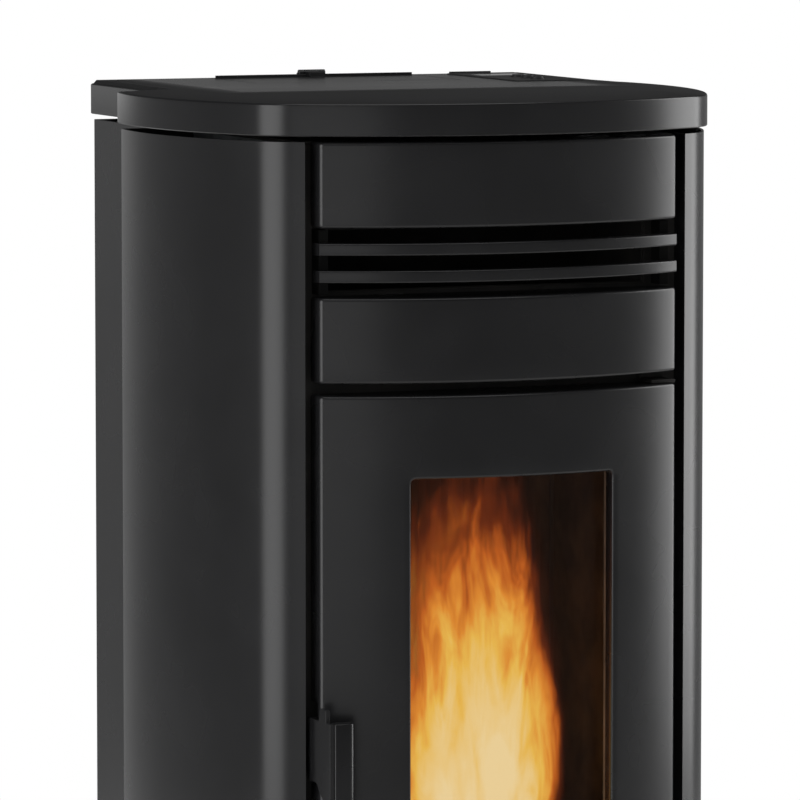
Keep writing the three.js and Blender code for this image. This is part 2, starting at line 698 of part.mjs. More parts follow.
function doorSkin() {

	const pan = foldedFront( [ DOOR_BOTTOM, DOOR_TOP ] );
	const collar = box( grown( windowX, SHEET ), [ 0, FRAME_FRONT - GAP ], grown( windowZ, SHEET ) )
		.intersect( prism( frontShape( PANEL_INSET, PANEL_HALF_WIDTH, PANEL_BACK ),
			[ DOOR_BOTTOM, DOOR_TOP ] ) );
	const notch = box( [ - PANEL_HALF_WIDTH - 1, - PANEL_HALF_WIDTH + SHEET + 1 ],
		[ HANDLE_PIVOT_Y - 9, PANEL_BACK + 1 ], [ NOTCH_BOTTOM, NOTCH_TOP ] );
	const pinHoles = rod( 'z', HINGE_PIN_RADIUS + HINGE_CLEARANCE, [ DOOR_BOTTOM - 1, DOOR_TOP + 1 ],
		[ HINGE_X, HINGE_Y ] );
	return cut( join( pan, collar ), box( windowX, throughDoor, windowZ ), notch, pinHoles );

}

const knuckleSpans = [ span( DOOR_BOTTOM + SHEET + GAP, KNUCKLE_LENGTH ),
	span( DOOR_TOP - SHEET - GAP - KNUCKLE_LENGTH, KNUCKLE_LENGTH ) ];
const hubSpan = [ NOTCH_BOTTOM + 5, NOTCH_TOP - 5 ];
const earSpans = [ [ hubSpan[ 0 ] - GAP - 6, hubSpan[ 0 ] - GAP ],
	[ hubSpan[ 1 ] + GAP, hubSpan[ 1 ] + GAP + 6 ] ];
const glassPocketX = grown( windowX, GLASS_EDGE + 1 );
const glassPocketZ = grown( windowZ, GLASS_EDGE + 1 );

function hingeKnuckle( height ) {

	return join( rod( 'z', KNUCKLE_RADIUS, height, [ HINGE_X, HINGE_Y ] ),
		box( [ HINGE_X - KNUCKLE_RADIUS, HINGE_X ], [ FRAME_FRONT + 1, HINGE_Y ], height ) );

}

function handleEar( height ) {

	const plate = box( about( HANDLE_PIVOT_X, 7 ), [ FRAME_FRONT + 1, HANDLE_PIVOT_Y ], height );
	return join( plate, rod( 'z', 7, height, [ HANDLE_PIVOT_X, HANDLE_PIVOT_Y ], 16 ) );

}

function doorFrame() {

	const ring = box( about( 0, FRAME_HALF_WIDTH ), [ FRAME_FRONT, FRAME_BACK ],
		[ DOOR_BOTTOM + FRAME_EDGE, DOOR_TOP - FRAME_EDGE ] );
	const cast = join( ring, ...knuckleSpans.map( hingeKnuckle ), ...earSpans.map( handleEar ) )
		.intersect( prism( frontShape( PANEL_INSET + SHEET + GAP, PANEL_HALF_WIDTH - SHEET - GAP, PANEL_BACK ),
			[ DOOR_BOTTOM, DOOR_TOP ] ) );
	const hub = rod( 'z', HANDLE_HUB_RADIUS + 2, [ hubSpan[ 0 ] - GAP, hubSpan[ 1 ] + GAP ],
		[ HANDLE_PIVOT_X, HANDLE_PIVOT_Y ] );
	return cut( cast, box( windowX, throughDoor, windowZ ),
		box( glassPocketX, [ FRAME_FRONT + FRAME_LIP, FRAME_BACK + 1 ], glassPocketZ ), hub,
		rod( 'z', HINGE_PIN_RADIUS + HINGE_CLEARANCE, [ DOOR_BOTTOM, DOOR_TOP ], [ HINGE_X, HINGE_Y ] ),
		rod( 'z', HANDLE_PIN_RADIUS + GAP, grown( [ NOTCH_BOTTOM, NOTCH_TOP ], 20 ),
			[ HANDLE_PIVOT_X, HANDLE_PIVOT_Y ], 12 ) );

}

// A flat ring in the X-Z plane around the window.
function windowRing( inner, outer, y ) {

	return cut( box( grown( windowX, outer ), y, grown( windowZ, outer ) ),
		box( grown( windowX, inner ), grown( y, 1 ), grown( windowZ, inner ) ) );

}

const doorGlass = () => box( grown( windowX, GLASS_EDGE ), [ GLASS_FRONT, GLASS_BACK ],
	grown( windowZ, GLASS_EDGE ) );
const glassSeal = () => windowRing( 2, GLASS_EDGE,
	span( FRAME_FRONT + FRAME_LIP + GAP, GLASS_SEAL_THICKNESS ) );

// A pressed ring holds the glass in its pocket: a flange on the frame and a lip on the glass.
function glassRetainer() {

	const flange = windowRing( GLASS_EDGE - RETAINER_LAP, GLASS_EDGE + RETAINER_FLANGE,
		span( FRAME_BACK + GAP, 2 ) );
	const lip = windowRing( GLASS_EDGE - RETAINER_LAP, GLASS_EDGE - RETAINER_LAP + 2,
		[ GLASS_BACK + GAP, FRAME_BACK + 1 ] );
	return join( flange, lip );

}

const sealZ = [ WINDOW_BOTTOM - DOOR_SEAL_BELOW, WINDOW_TOP + DOOR_SEAL_ABOVE ];

function doorSeal() {

	const y = [ FRAME_BACK + GAP, FIREBOX_FRONT - GAP ];
	return cut( box( about( 0, DOOR_SEAL_OUTER ), y, sealZ ),
		box( about( 0, DOOR_SEAL_OUTER - DOOR_SEAL_WIDTH ), grown( y, 1 ),
			grown( sealZ, - DOOR_SEAL_WIDTH ) ) );

}


// A bracket fills part of the gap above or below the door: a plate, its foot and a fixed pin.
function hingeBracket( plateZ, footZ, pinZ ) {

	const x = [ HINGE_X - 12, HINGE_X + 11 ];
	const back = FRONT_PLATE_Y - GAP;
	return join( box( x, [ HINGE_Y - 10, back ], plateZ ), box( x, [ back - HINGE_PLATE, back ], footZ ),
		rod( 'z', HINGE_PIN_RADIUS, pinZ, [ HINGE_X, HINGE_Y ] ) );

}

function lowerHingeBracket() {

	const top = DOOR_BOTTOM - GAP;
	return hingeBracket( [ top - HINGE_PLATE, top ], [ top - HINGE_FOOT, top ],
		[ top - HINGE_PLATE, knuckleSpans[ 0 ][ 1 ] ] );

}

function upperHingeBracket() {

	const bottom = DOOR_TOP + GAP;
	return hingeBracket( span( bottom, HINGE_PLATE ), span( bottom, HINGE_FOOT ),
		[ knuckleSpans[ 1 ][ 0 ], bottom + HINGE_PLATE ] );

}

// ---------------------------------------------------------------- handle and latch

function handleBar() {

	const left = HANDLE_ARM_X + HANDLE_ARM_THICKNESS + GAP;
	const right = left + HANDLE_BAR_WIDTH;
	const y = span( HANDLE_BAR_FRONT, HANDLE_BAR_DEPTH );
	const z = [ HANDLE_BAR_TOP - HANDLE_BAR_HEIGHT, HANDLE_BAR_TOP ];
	const outline = [ [ left, y[ 1 ] ], [ left, y[ 0 ] + 2 ], [ left + 2, y[ 0 ] ], [ right - 2, y[ 0 ] ],
		[ right, y[ 0 ] + 2 ], [ right, y[ 1 ] ] ].map( ( [ px, py ] ) => new THREE.Vector2( px, py ) );
	return prism( outline.reverse(), z );

}

// The arm is a side plate that swells where it leaves the notch, with a raised catch at its top.
function handleLever() {

	const front = HANDLE_BAR_FRONT + 1;
	const top = NOTCH_TOP - 2;
	const bottom = NOTCH_BOTTOM + 4;
	const armX = span( HANDLE_ARM_X, HANDLE_ARM_THICKNESS );
	const arm = sidePrism( [
		[ front, HANDLE_BAR_TOP - HANDLE_BAR_HEIGHT ], [ front + 12, HANDLE_BAR_TOP - HANDLE_BAR_HEIGHT ],
		[ front + 16, bottom - 14 ], [ front + 32, bottom ], [ HANDLE_PIVOT_Y - 2, bottom ],
		[ HANDLE_PIVOT_Y + 4, bottom + 8 ], [ HANDLE_PIVOT_Y + 4, HANDLE_BAR_TOP - 4 ],
		[ HANDLE_PIVOT_Y - 4, HANDLE_BAR_TOP ], [ front + 26, HANDLE_BAR_TOP ], [ front + 24, top ],
		[ front + 10, top ], [ front + 10, HANDLE_BAR_TOP ], [ front, HANDLE_BAR_TOP ],
	], armX );
	const web = box( [ HANDLE_ARM_X + 1, HANDLE_PIVOT_X ], about( HANDLE_PIVOT_Y, HANDLE_WEB / 2 ),
		[ hubSpan[ 0 ], hubSpan[ 1 ] - 8 ] );
	const hub = rod( 'z', HANDLE_HUB_RADIUS, hubSpan, [ HANDLE_PIVOT_X, HANDLE_PIVOT_Y ] );
	const tongue = box( about( HANDLE_PIVOT_X, 3 ), span( HANDLE_PIVOT_Y, TONGUE_REACH ),
		about( TONGUE_Z, TONGUE_THICKNESS / 2 ) );
	return cut( join( arm, web, hub, tongue ), rod( 'z', HANDLE_PIN_RADIUS + GAP,
		grown( hubSpan, 1 ), [ HANDLE_PIVOT_X, HANDLE_PIVOT_Y ], 12 ) );

}

function handlePin() {

	return rod( 'z', HANDLE_PIN_RADIUS, [ earSpans[ 0 ][ 0 ] - 1, earSpans[ 1 ][ 1 ] + 1 ],
		[ HANDLE_PIVOT_X, HANDLE_PIVOT_Y ], 12 );

}

// Two open jaws, above and below the tongue, on a foot against the chassis.
function latchKeeper() {

	const jaw = TONGUE_THICKNESS / 2 + KEEPER_CLEARANCE;
	const x = [ HANDLE_PIVOT_X - 6, HANDLE_PIVOT_X + 11 ];
	const block = box( x, [ HANDLE_PIVOT_Y + 7, FRONT_PLATE_Y - GAP ], about( TONGUE_Z, jaw + 3 ) );
	return cut( block, box( grown( x, 1 ), [ HANDLE_PIVOT_Y, HANDLE_PIVOT_Y + TONGUE_REACH + 2 ],
		about( TONGUE_Z, jaw ) ) );

}

// ---------------------------------------------------------------- chassis

const footCentres = [ [ - FOOT_FRONT[ 0 ], FOOT_FRONT[ 1 ] ], FOOT_FRONT,
	[ - FOOT_REAR[ 0 ], FOOT_REAR[ 1 ] ], FOOT_REAR ];

// The ash pan slides on a folded shelf that stands on the base.
function drawerShelf() {

	const y = [ FRONT_PLATE_BACK + GAP, PAN_BACK + DRAWER_SHELF_MARGIN / 2 ];
	const top = PAN_BOTTOM - GAP;
	const halfWidth = PAN_HALF_WIDTH + DRAWER_SHELF_MARGIN;
	return cut( box( about( 0, halfWidth ), y, [ BASE_TOP - 1, top ] ),
		box( about( 0, halfWidth - CHASSIS_SHEET ), grown( y, 1 ), [ BASE_TOP - 2, top - CHASSIS_SHEET ] ) );

}

function chassisBase() {

	const tray = cut( prism( plan( BASE_INSET ), [ FOOT_HEIGHT, BASE_TOP ] ),
		prism( plan( BASE_INSET + SHEET ), [ FOOT_HEIGHT - 1, BASE_TOP - BASE_PLATE ] ) );
	const bosses = footCentres.map( ( centre ) => rod( 'z', FOOT_STEM_RADIUS + 5,
		[ FOOT_HEIGHT + 4, BASE_TOP - 1 ], centre, 12 ) );
	const threads = footCentres.map( ( centre ) => rod( 'z', FOOT_STEM_RADIUS + GAP,
		[ FOOT_HEIGHT, BASE_TOP - BASE_PLATE ], centre, 12 ) );
	return cut( join( tray, drawerShelf(), ...bosses ), ...threads );

}

function levellingFoot( centre ) {

	return join( rod( 'z', FOOT_RADIUS, [ 0, FOOT_PAD ], centre, 24 ),
		rod( 'z', FOOT_STEM_RADIUS + 4, [ FOOT_PAD - 1, FOOT_HEIGHT + 4 - GAP ], centre, 6 ),
		rod( 'z', FOOT_STEM_RADIUS, [ FOOT_PAD, BASE_TOP - BASE_PLATE - GAP ], centre, 12 ) );

}

const chassisZ = [ BASE_TOP + GAP, TOP_FRAME_BOTTOM - GAP ];

function chassisFrontPlate() {

	const y = [ FRONT_PLATE_Y, FRONT_PLATE_BACK ];
	const through = grown( y, 1 );
	return cut( box( about( 0, SIDE_FLANGE_X + FRONT_PLATE_LAP ), y, chassisZ ),
		box( about( 0, FIREBOX_HALF_WIDTH + GAP ), through, grown( [ FIREBOX_BOTTOM, FIREBOX_TOP ], GAP ) ),
		box( about( 0, PAN_HALF_WIDTH + 4 ), through, [ PAN_BOTTOM - 6, DRAWER_FRONT_TOP + PAN_OPENING_RISE ] ),
		box( about( 0, DUCT_HALF_WIDTH - 2 ), through,
			grown( [ MIDDLE_PANEL_TOP, UPPER_PANEL_BOTTOM ], - 3 ) ) );

}

function chassisSide( side ) {

	const x = side > 0 ? [ CHASSIS_HALF_WIDTH - CHASSIS_SHEET, CHASSIS_HALF_WIDTH ]
		: [ - CHASSIS_HALF_WIDTH, CHASSIS_SHEET - CHASSIS_HALF_WIDTH ];
	return box( x, [ FRONT_PLATE_BACK + GAP, CASING_BACK_INNER - GAP ], chassisZ );

}

function topFrame() {

	const height = [ TOP_FRAME_BOTTOM, TOP_FRAME_TOP ];
	const through = grown( height, 1 );
	const plate = cut(
		box( about( 0, CHASSIS_HALF_WIDTH ), [ FRONT_PLATE_Y, CASING_BACK_INNER - GAP ], height ),
		box( about( 0, NECK_X + HOPPER_SHEET + 1 ),
			[ NECK_FRONT - HOPPER_SHEET - 1, NECK_REAR + HOPPER_SHEET + 1 ], through ) );
	const posts = [ POST_FRONT, POST_REAR ].flatMap( ( [ x, y ] ) => [ [ x, y ], [ - x, y ] ] )
		.map( ( centre ) => rod( 'z', POST_RADIUS, [ TOP_FRAME_BOTTOM, COVER_UNDERSIDE - GAP ], centre, 16 ) );
	return join( plate, ...posts );

}

const inletX = about( INLET_X, INLET_SIZE[ 0 ] / 2 );
const inletZ = about( INLET_Z, INLET_SIZE[ 1 ] / 2 );
const rockerX = about( INLET_X, ROCKER_SIZE[ 0 ] / 2 );
const rockerZ = about( ROCKER_Z, ROCKER_SIZE[ 1 ] / 2 );

function rearCasing() {

	const z = [ SKIRT_BOTTOM, BODY_TOP ];
	const front = SIDE_REAR - PANEL_INSET + GAP;
	const shell = box( about( 0, CASING_X ), [ front, CASING_BACK ], z );
	const hollow = box( about( 0, CASING_X - CHASSIS_SHEET ), [ front + CHASSIS_SHEET, CASING_BACK_INNER ],
		grown( z, 1 ) );
	const between = box( about( 0, CHASSIS_HALF_WIDTH + GAP ), [ front - 1, front + CHASSIS_SHEET + 1 ],
		grown( z, 1 ) );
	const through = grown( [ CASING_BACK_INNER, CASING_BACK ], 1 );
	const fanMiddle = ( fanX[ 0 ] + fanX[ 1 ] ) / 2;
	const slots = Array.from( { length: GRILLE_ROWS }, ( _, i ) => [ - 1, 1 ].map( ( side ) =>
		box( about( fanMiddle + side * ( GRILLE_SLOT[ 0 ] / 2 + 4 ), GRILLE_SLOT[ 0 ] / 2 ), through,
			about( ROOM_FAN_Z + ( i - ( GRILLE_ROWS - 1 ) / 2 ) * GRILLE_PITCH,
				GRILLE_SLOT[ 1 ] / 2 ) ) ) ).flat();
	return cut( shell, hollow, between, ...slots,
		rod( 'y', FLUE_RADIUS + 1, through, [ SMOKE_FAN_X, FLUE_Z ], 28 ),
		rod( 'y', INTAKE_RADIUS + 1, through, [ INTAKE_X, INTAKE_Z ], 28 ),
		box( grown( inletX, GAP ), through, grown( inletZ, GAP ) ),
		box( grown( rockerX, 2.5 ), through, grown( rockerZ, 2.5 ) ) );

}

// ---------------------------------------------------------------- firebox

const mouthZ = [ sealZ[ 0 ] + DOOR_SEAL_WIDTH + 1, sealZ[ 1 ] - DOOR_SEAL_WIDTH - 1 ];
const innerX = about( 0, FIREBOX_INNER_X );
const innerY = [ FIREBOX_FRONT + FIREBOX_WALL, FIREBOX_INNER_BACK ];
const backThrough = [ FIREBOX_INNER_BACK - 1, FIREBOX_BACK + 1 ];
const feedHoleX = about( 0, CHUTE_HALF_WIDTH - CHUTE_SHEET - 4 );
const feedHoleZ = [ CHUTE_BOTTOM + 6, CHUTE_TOP - 6 ];

function firebox() {

	const shell = cut( box( about( 0, FIREBOX_HALF_WIDTH ), [ FIREBOX_FRONT, FIREBOX_BACK ],
		[ FIREBOX_BOTTOM, FIREBOX_TOP ] ),
		box( innerX, innerY, [ FIREBOX_BOTTOM + FIREBOX_WALL, FIREBOX_TOP - FIREBOX_WALL ] ) );
	const ledgeTops = [ SHELF_Z - GAP, BAFFLE_Z - GAP ];
	const ledges = ledgeTops.flatMap( ( top ) => [ - 1, 1 ].map( ( side ) => box(
		about( side * ( FIREBOX_INNER_X - MOUTH_LEDGE / 2 ), MOUTH_LEDGE / 2 + 1 ),
		[ FIREBOX_FRONT + 1, FIREBOX_BACK - 1 ], [ top - FIREBOX_WALL, top ] ) ) );
	return cut( join( shell, ...ledges ),
		box( about( 0, MOUTH_X ), [ FIREBOX_FRONT - 1, FIREBOX_FRONT + FIREBOX_WALL + 1 ], mouthZ ),
		box( about( 0, PAN_HALF_WIDTH - 7 ), [ FRONT_PLATE_BACK, PAN_BACK - 10 ],
			about( FIREBOX_BOTTOM, FIREBOX_WALL + 1 ) ),
		box( feedHoleX, backThrough, feedHoleZ ),
		rod( 'y', IGNITER_RADIUS + 2, backThrough, [ 0, IGNITER_Z ], 16 ),
		rod( 'y', INTAKE_RADIUS - 3, backThrough, [ INTAKE_X, INTAKE_Z ], 20 ),
		box( smokeDuctInnerX, backThrough, smokeDuctInnerZ ) );

}

const smokeDuctX = [ SMOKE_FAN_X - SMOKE_FAN_HALF_WIDTH - SMOKE_DUCT_WIDTH,
	SMOKE_FAN_X - SMOKE_FAN_HALF_WIDTH - GAP ];
const smokeDuctZ = [ SMOKE_FAN_Z - SMOKE_DUCT_REACH, FIREBOX_BOTTOM + SMOKE_DUCT_RISE ];
const smokeDuctInnerX = grown( smokeDuctX, - SMOKE_FAN_SHEET );
const smokeDuctInnerZ = [ FIREBOX_BOTTOM + 2 * FIREBOX_WALL, smokeDuctZ[ 1 ] - SMOKE_FAN_SHEET ];

function smokeDuct() {

	const y = [ FIREBOX_BACK + GAP, SMOKE_FAN_Y + SMOKE_DUCT_REACH ];
	const profile = ( wall, past ) => [
		[ y[ 0 ] - past, FIREBOX_BOTTOM + FIREBOX_WALL + 2 + 1.5 * wall ],
		[ SMOKE_FAN_Y - SMOKE_DUCT_REACH + wall, smokeDuctZ[ 0 ] + wall ],
		[ y[ 1 ] - wall, smokeDuctZ[ 0 ] + wall ],
		[ y[ 1 ] - wall, FIREBOX_BOTTOM - wall / 2 ],
		[ y[ 0 ] + SMOKE_DUCT_FLAT - wall / 2, smokeDuctZ[ 1 ] - wall ],
		[ y[ 0 ] - past, smokeDuctZ[ 1 ] - wall ] ];
	return cut( sidePrism( profile( 0, 0 ), smokeDuctX ),
		sidePrism( profile( SMOKE_FAN_SHEET, 1 ), smokeDuctInnerX ),
		rod( 'x', SMOKE_INLET_RADIUS, [ smokeDuctX[ 1 ] - 4, smokeDuctX[ 1 ] + 1 ],
			[ SMOKE_FAN_Y, SMOKE_FAN_Z ] ) );

}

const potX = about( 0, POT_HALF_WIDTH );
const potY = about( POT_CENTRE_Y, POT_HALF_DEPTH );

function burnerSupport() {

	const y = [ innerY[ 0 ] + GAP, innerY[ 1 ] - GAP ];
	const height = [ SHELF_Z, SHELF_TOP ];
	const through = grown( height, 1 );
	const ashSlots = [ - 1, 1 ].flatMap( ( side ) => ASH_SLOT_X.map( ( x ) =>
		box( about( side * x, ASH_SLOT_WIDTH / 2 ), grown( potY, ASH_SLOT_WIDTH ), through ) ) );
	return cut( box( grown( innerX, - GAP ), y, height ),
		box( grown( potX, 1 ), grown( potY, 1 ), through ), ...ashSlots );

}

// The pot tapers to a perforated floor, and hangs by its flange in the support.
function burnerPot() {

	const rect = ( by ) => rectangle( POT_HALF_WIDTH + by, POT_CENTRE_Y - POT_HALF_DEPTH - by,
		POT_CENTRE_Y + POT_HALF_DEPTH + by );
	const outer = join( loft( rect( - POT_TAPER ), POT_FLOOR_Z, rect( 0 ), SHELF_TOP ),
		prism( rect( 0 ), [ SHELF_TOP - 0.01, POT_RIM_Z ] ),
		prism( rect( POT_FLANGE ), span( SHELF_TOP + GAP, 4 ) ) );
	const inner = join(
		loft( rect( - POT_TAPER - POT_WALL ), POT_FLOOR_Z + POT_WALL, rect( - POT_WALL ), SHELF_TOP ),
		prism( rect( - POT_WALL ), [ SHELF_TOP - 0.01, POT_RIM_Z + 1 ] ) );
	const holes = [];
	for ( const x of POT_HOLE_X ) {

		for ( const y of POT_HOLE_Y ) {

			holes.push( rod( 'z', POT_HOLE_RADIUS, about( POT_FLOOR_Z, POT_WALL + 2 ),
				[ x, POT_CENTRE_Y + y ], 6 ) );

		}

		for ( const rise of POT_HOLE_RISE ) {

			holes.push( rod( 'y', POT_HOLE_RADIUS, grown( potY, 1 ), [ x, SHELF_TOP + rise ], 6 ) );

		}

	}

	return cut( outer, inner, ...holes );

}

// A cast plate with upright ribs lines the back of the firebox.
function fireboxBackPlate() {

	const z = [ SHELF_TOP + GAP, BAFFLE_Z - GAP - FIREBOX_WALL - 1 ];
	const y = [ FIREBOX_INNER_BACK - GAP - BACK_PLATE, FIREBOX_INNER_BACK - GAP ];
	const halfWidth = FIREBOX_INNER_X - GAP;
	const pitch = 2 * halfWidth / BACK_RIBS;
	const ribs = Array.from( { length: BACK_RIBS }, ( _, i ) => {

		const middle = - halfWidth + pitch * ( i + 0.5 );
		const outline = [ [ middle - pitch * 0.36, y[ 0 ] + 1 ], [ middle - pitch * 0.22, y[ 0 ] - BACK_RIB ],
			[ middle + pitch * 0.22, y[ 0 ] - BACK_RIB ], [ middle + pitch * 0.36, y[ 0 ] + 1 ] ];
		return prism( outline.map( ( [ px, py ] ) => new THREE.Vector2( px, py ) ),
			[ z[ 0 ] + 6, z[ 1 ] - 6 ] );

	} );
	return cut( join( box( about( 0, halfWidth ), y, z ), ...ribs ),
		box( feedHoleX, [ y[ 0 ] - BACK_RIB - 1, y[ 1 ] + 1 ], feedHoleZ ) );

}

const baffle = () => box( grown( innerX, - GAP ), [ innerY[ 0 ] + 35, innerY[ 1 ] - GAP ],
	span( BAFFLE_Z, BAFFLE ) );

function igniter() {

	return join( rod( 'y', IGNITER_RADIUS, [ potY[ 1 ] + 1, FIREBOX_BACK + 36 ], [ 0, IGNITER_Z ], 16 ),
		rod( 'y', IGNITER_RADIUS + 8, span( FIREBOX_BACK + GAP, 4 ), [ 0, IGNITER_Z ], 16 ) );

}

// Air drawn past the firebox leaves through this duct behind the louvre.
function airDuct() {

	const y = [ FRONT_PLATE_BACK + GAP, HOPPER_FRONT - DUCT_BACK_GAP ];
	const z = [ FIREBOX_TOP + GAP, UPPER_PANEL_BOTTOM ];
	const [ run, fall ] = DUCT_SLOPE;
	const profile = ( wall ) => [ [ y[ 0 ] + wall, z[ 0 ] - wall ], [ y[ 1 ] - wall, z[ 0 ] - wall ],
		[ y[ 1 ] - wall, z[ 1 ] - fall - wall / 2 ], [ y[ 1 ] - run - wall / 2, z[ 1 ] - wall ],
		[ y[ 0 ] + wall, z[ 1 ] - wall ] ];
	return cut( sidePrism( profile( 0 ), about( 0, DUCT_HALF_WIDTH ) ),
		sidePrism( profile( DUCT_SHEET ), about( 0, DUCT_HALF_WIDTH - DUCT_SHEET ) ),
		box( about( 0, DUCT_HALF_WIDTH - DUCT_SHEET - 1 ), grown( about( y[ 0 ], 1 ), DUCT_SHEET ),
			grown( [ MIDDLE_PANEL_TOP, UPPER_PANEL_BOTTOM ], - 2 * DUCT_SHEET ) ) );

}

// ---------------------------------------------------------------- ash drawer

const panX = about( 0, PAN_HALF_WIDTH );
const panY = [ PANEL_BACK + GAP, PAN_BACK ];

function ashPan() {

	const face = box( about( 0, PANEL_HALF_WIDTH - 1 ), span( panY[ 0 ], PAN_SHEET ),
		[ DRAWER_FRONT_BOTTOM + 1, PAN_TOP ] );
	return cut( join( box( panX, panY, [ PAN_BOTTOM, PAN_TOP ] ), face ),
		box( grown( panX, - PAN_SHEET ), grown( panY, - PAN_SHEET ),
			[ PAN_BOTTOM + PAN_SHEET, PAN_TOP + 1 ] ) );

}

// ---------------------------------------------------------------- hopper and feed screw

function hopper() {

	const shoulder = HOPPER_SHOULDER;
	const inletRear = FEED_INLET_FRONT + FEED_INLET_DEPTH;
	const layer = ( wall, extra ) => join(
		prism( rectangle( NECK_X + wall, NECK_FRONT - wall, NECK_REAR + wall ),
			[ shoulder - 5, HOPPER_TOP + extra ] ),
		prism( rectangle( HOPPER_HALF_WIDTH - HOPPER_SHEET + wall, HOPPER_FRONT + HOPPER_SHEET - wall,
			HOPPER_REAR - HOPPER_SHEET + wall ), [ HOPPER_FUNNEL_Z, shoulder - HOPPER_SHEET + wall ] ),
		loft( rectangle( FEED_INLET_HALF_WIDTH + wall, FEED_INLET_FRONT - wall, inletRear + wall ),
			FEED_INLET_TOP + GAP - extra,
			rectangle( HOPPER_HALF_WIDTH - HOPPER_SHEET + wall, HOPPER_FRONT + HOPPER_SHEET - wall,
				HOPPER_REAR - HOPPER_SHEET + wall ), HOPPER_FUNNEL_Z + 0.01 ) );
	const flange = prism( rectangle( NECK_X + HOPPER_FLANGE, NECK_FRONT - HOPPER_FLANGE,
		NECK_REAR + HOPPER_FLANGE ),
		[ HOPPER_TOP - 2, HOPPER_TOP ] );
	return cut( join( layer( HOPPER_SHEET, 0 ), flange ), layer( 0, 1 ) );

}

function hopperGrid() {

	const x = about( 0, NECK_X - GAP );
	const y = [ NECK_FRONT + GAP, NECK_REAR - GAP ];
	const z = span( STOVE_HEIGHT - GRID_DROP, GRID_BAR );
	const frameRing = cut( box( x, y, z ),
		box( grown( x, - GRID_BAR ), grown( y, - GRID_BAR ), grown( z, 1 ) ) );
	const pitch = ( x[ 1 ] - x[ 0 ] ) / ( GRID_BARS + 1 );
	const bars = Array.from( { length: GRID_BARS }, ( _, i ) =>
		box( about( x[ 0 ] + pitch * ( i + 1 ), GRID_BAR / 2 ), grown( y, - 1 ), grown( z, - 0.5 ) ) );
	return join( frameRing, ...bars );

}

// Everything on the screw's own axis is made upright at the origin, then tilted forwards.
const feedMatrix = new THREE.Matrix4().makeTranslation( 0, FEED_START_Y, FEED_START_Z )
	.multiply( new THREE.Matrix4().makeRotationX( FEED_TILT * DEGREE ) );

function feedRod( radius, from, to, sides = 28 ) {

	const geometry = new THREE.CylinderGeometry( radius, radius, to - from, sides ).rotateX( Math.PI / 2 );
	return solid( geometry.translate( 0, 0, ( from + to ) / 2 ).applyMatrix4( feedMatrix ) );

}

// The chute stands over the top of the tube and slopes down to the firebox.
function chuteOutline( wall, front ) {

	const [ ridge, lip ] = CHUTE_RIDGE;
	const [ back, fall ] = CHUTE_HEEL;
	return [ [ front, CHUTE_BOTTOM + wall * 1.5 ], [ front, CHUTE_TOP - wall ],
		[ front + ridge, CHUTE_TOP + lip - wall ], [ CHUTE_REAR + back - wall, CHUTE_TOP - fall ],
		[ front + CHUTE_SILL[ 0 ], CHUTE_BOTTOM + CHUTE_SILL[ 1 ] + wall * 1.5 ] ];

}

function feedTube() {

	const front = FIREBOX_BACK + GAP;
	const inletY = span( FEED_INLET_FRONT, FEED_INLET_DEPTH );
	const outer = join( feedRod( FEED_TUBE_RADIUS, 0, FEED_LENGTH ),
		sidePrism( chuteOutline( 0, front ), about( 0, CHUTE_HALF_WIDTH ) ),
		box( about( 0, FEED_INLET_HALF_WIDTH + 2 ), grown( inletY, 2 ),
			[ FEED_START_Z + FEED_INLET_DEEP, FEED_INLET_TOP ] ) );
	return cut( outer, feedRod( FEED_TUBE_RADIUS - FEED_TUBE_WALL, - 1, FEED_LENGTH + 1 ),
		sidePrism( chuteOutline( CHUTE_SHEET, front - 1 ), about( 0, CHUTE_HALF_WIDTH - CHUTE_SHEET ) ),
		box( about( 0, FEED_INLET_HALF_WIDTH ), inletY,
			[ FEED_START_Z + FEED_INLET_DEEP, FEED_INLET_TOP + 1 ] ) );

}

// One unbroken screw flight: a thin rectangle carried round the shaft while it climbs.
function feedScrew() {

	const turns = ( FEED_LENGTH - FLIGHT_START - FLIGHT_END ) / FLIGHT_PITCH;
	const steps = Math.round( turns * FLIGHT_STEPS_PER_TURN );
	const inner = SHAFT_RADIUS - 2;
	const outer = FEED_TUBE_RADIUS - FEED_TUBE_WALL - FLIGHT_CLEARANCE;
	const points = [];
	const faces = [];
	for ( let i = 0; i <= steps; i ++ ) {

		const angle = 2 * Math.PI * turns * i / steps;
		const z = FLIGHT_START + FLIGHT_PITCH * turns * i / steps;
		for ( const [ r, h ] of [ [ inner, 0 ], [ outer, 0 ], [ outer, FLIGHT_THICKNESS ],
			[ inner, FLIGHT_THICKNESS ] ] ) {

			points.push( r * Math.cos( angle ), r * Math.sin( angle ), z + h );

		}

		if ( i === steps ) continue;
		for ( let k = 0; k < 4; k ++ ) {

			const a = 4 * i + k;
			const b = 4 * i + ( k + 1 ) % 4;
			faces.push( a, a + 4, b + 4, a, b + 4, b );

		}

	}

	const last = 4 * steps;
	faces.push( 0, 1, 2, 0, 2, 3, last, last + 2, last + 1, last, last + 3, last + 2 );
	const geometry = new THREE.BufferGeometry();
	geometry.setAttribute( 'position', new THREE.Float32BufferAttribute( points, 3 ) );
	geometry.setIndex( faces );
	return join( feedRod( SHAFT_RADIUS, GAP, FEED_LENGTH - 6, 16 ),
		solid( geometry.applyMatrix4( feedMatrix ) ) );

}

function gearmotor() {

	const [ width, depth, height ] = GEARBOX_SIZE;
	const gearbox = new THREE.BoxGeometry( width, depth, height ).translate( 0, 0, - height / 2 );
	return join( solid( gearbox.applyMatrix4( feedMatrix ) ),
		feedRod( GEARMOTOR_RADIUS, - height - GEARMOTOR_LENGTH, 1 - height, 20 ) );

}

// ---------------------------------------------------------------- fans and pipes

const fanX = span( ROOM_FAN_LEFT, ROOM_FAN_LENGTH );

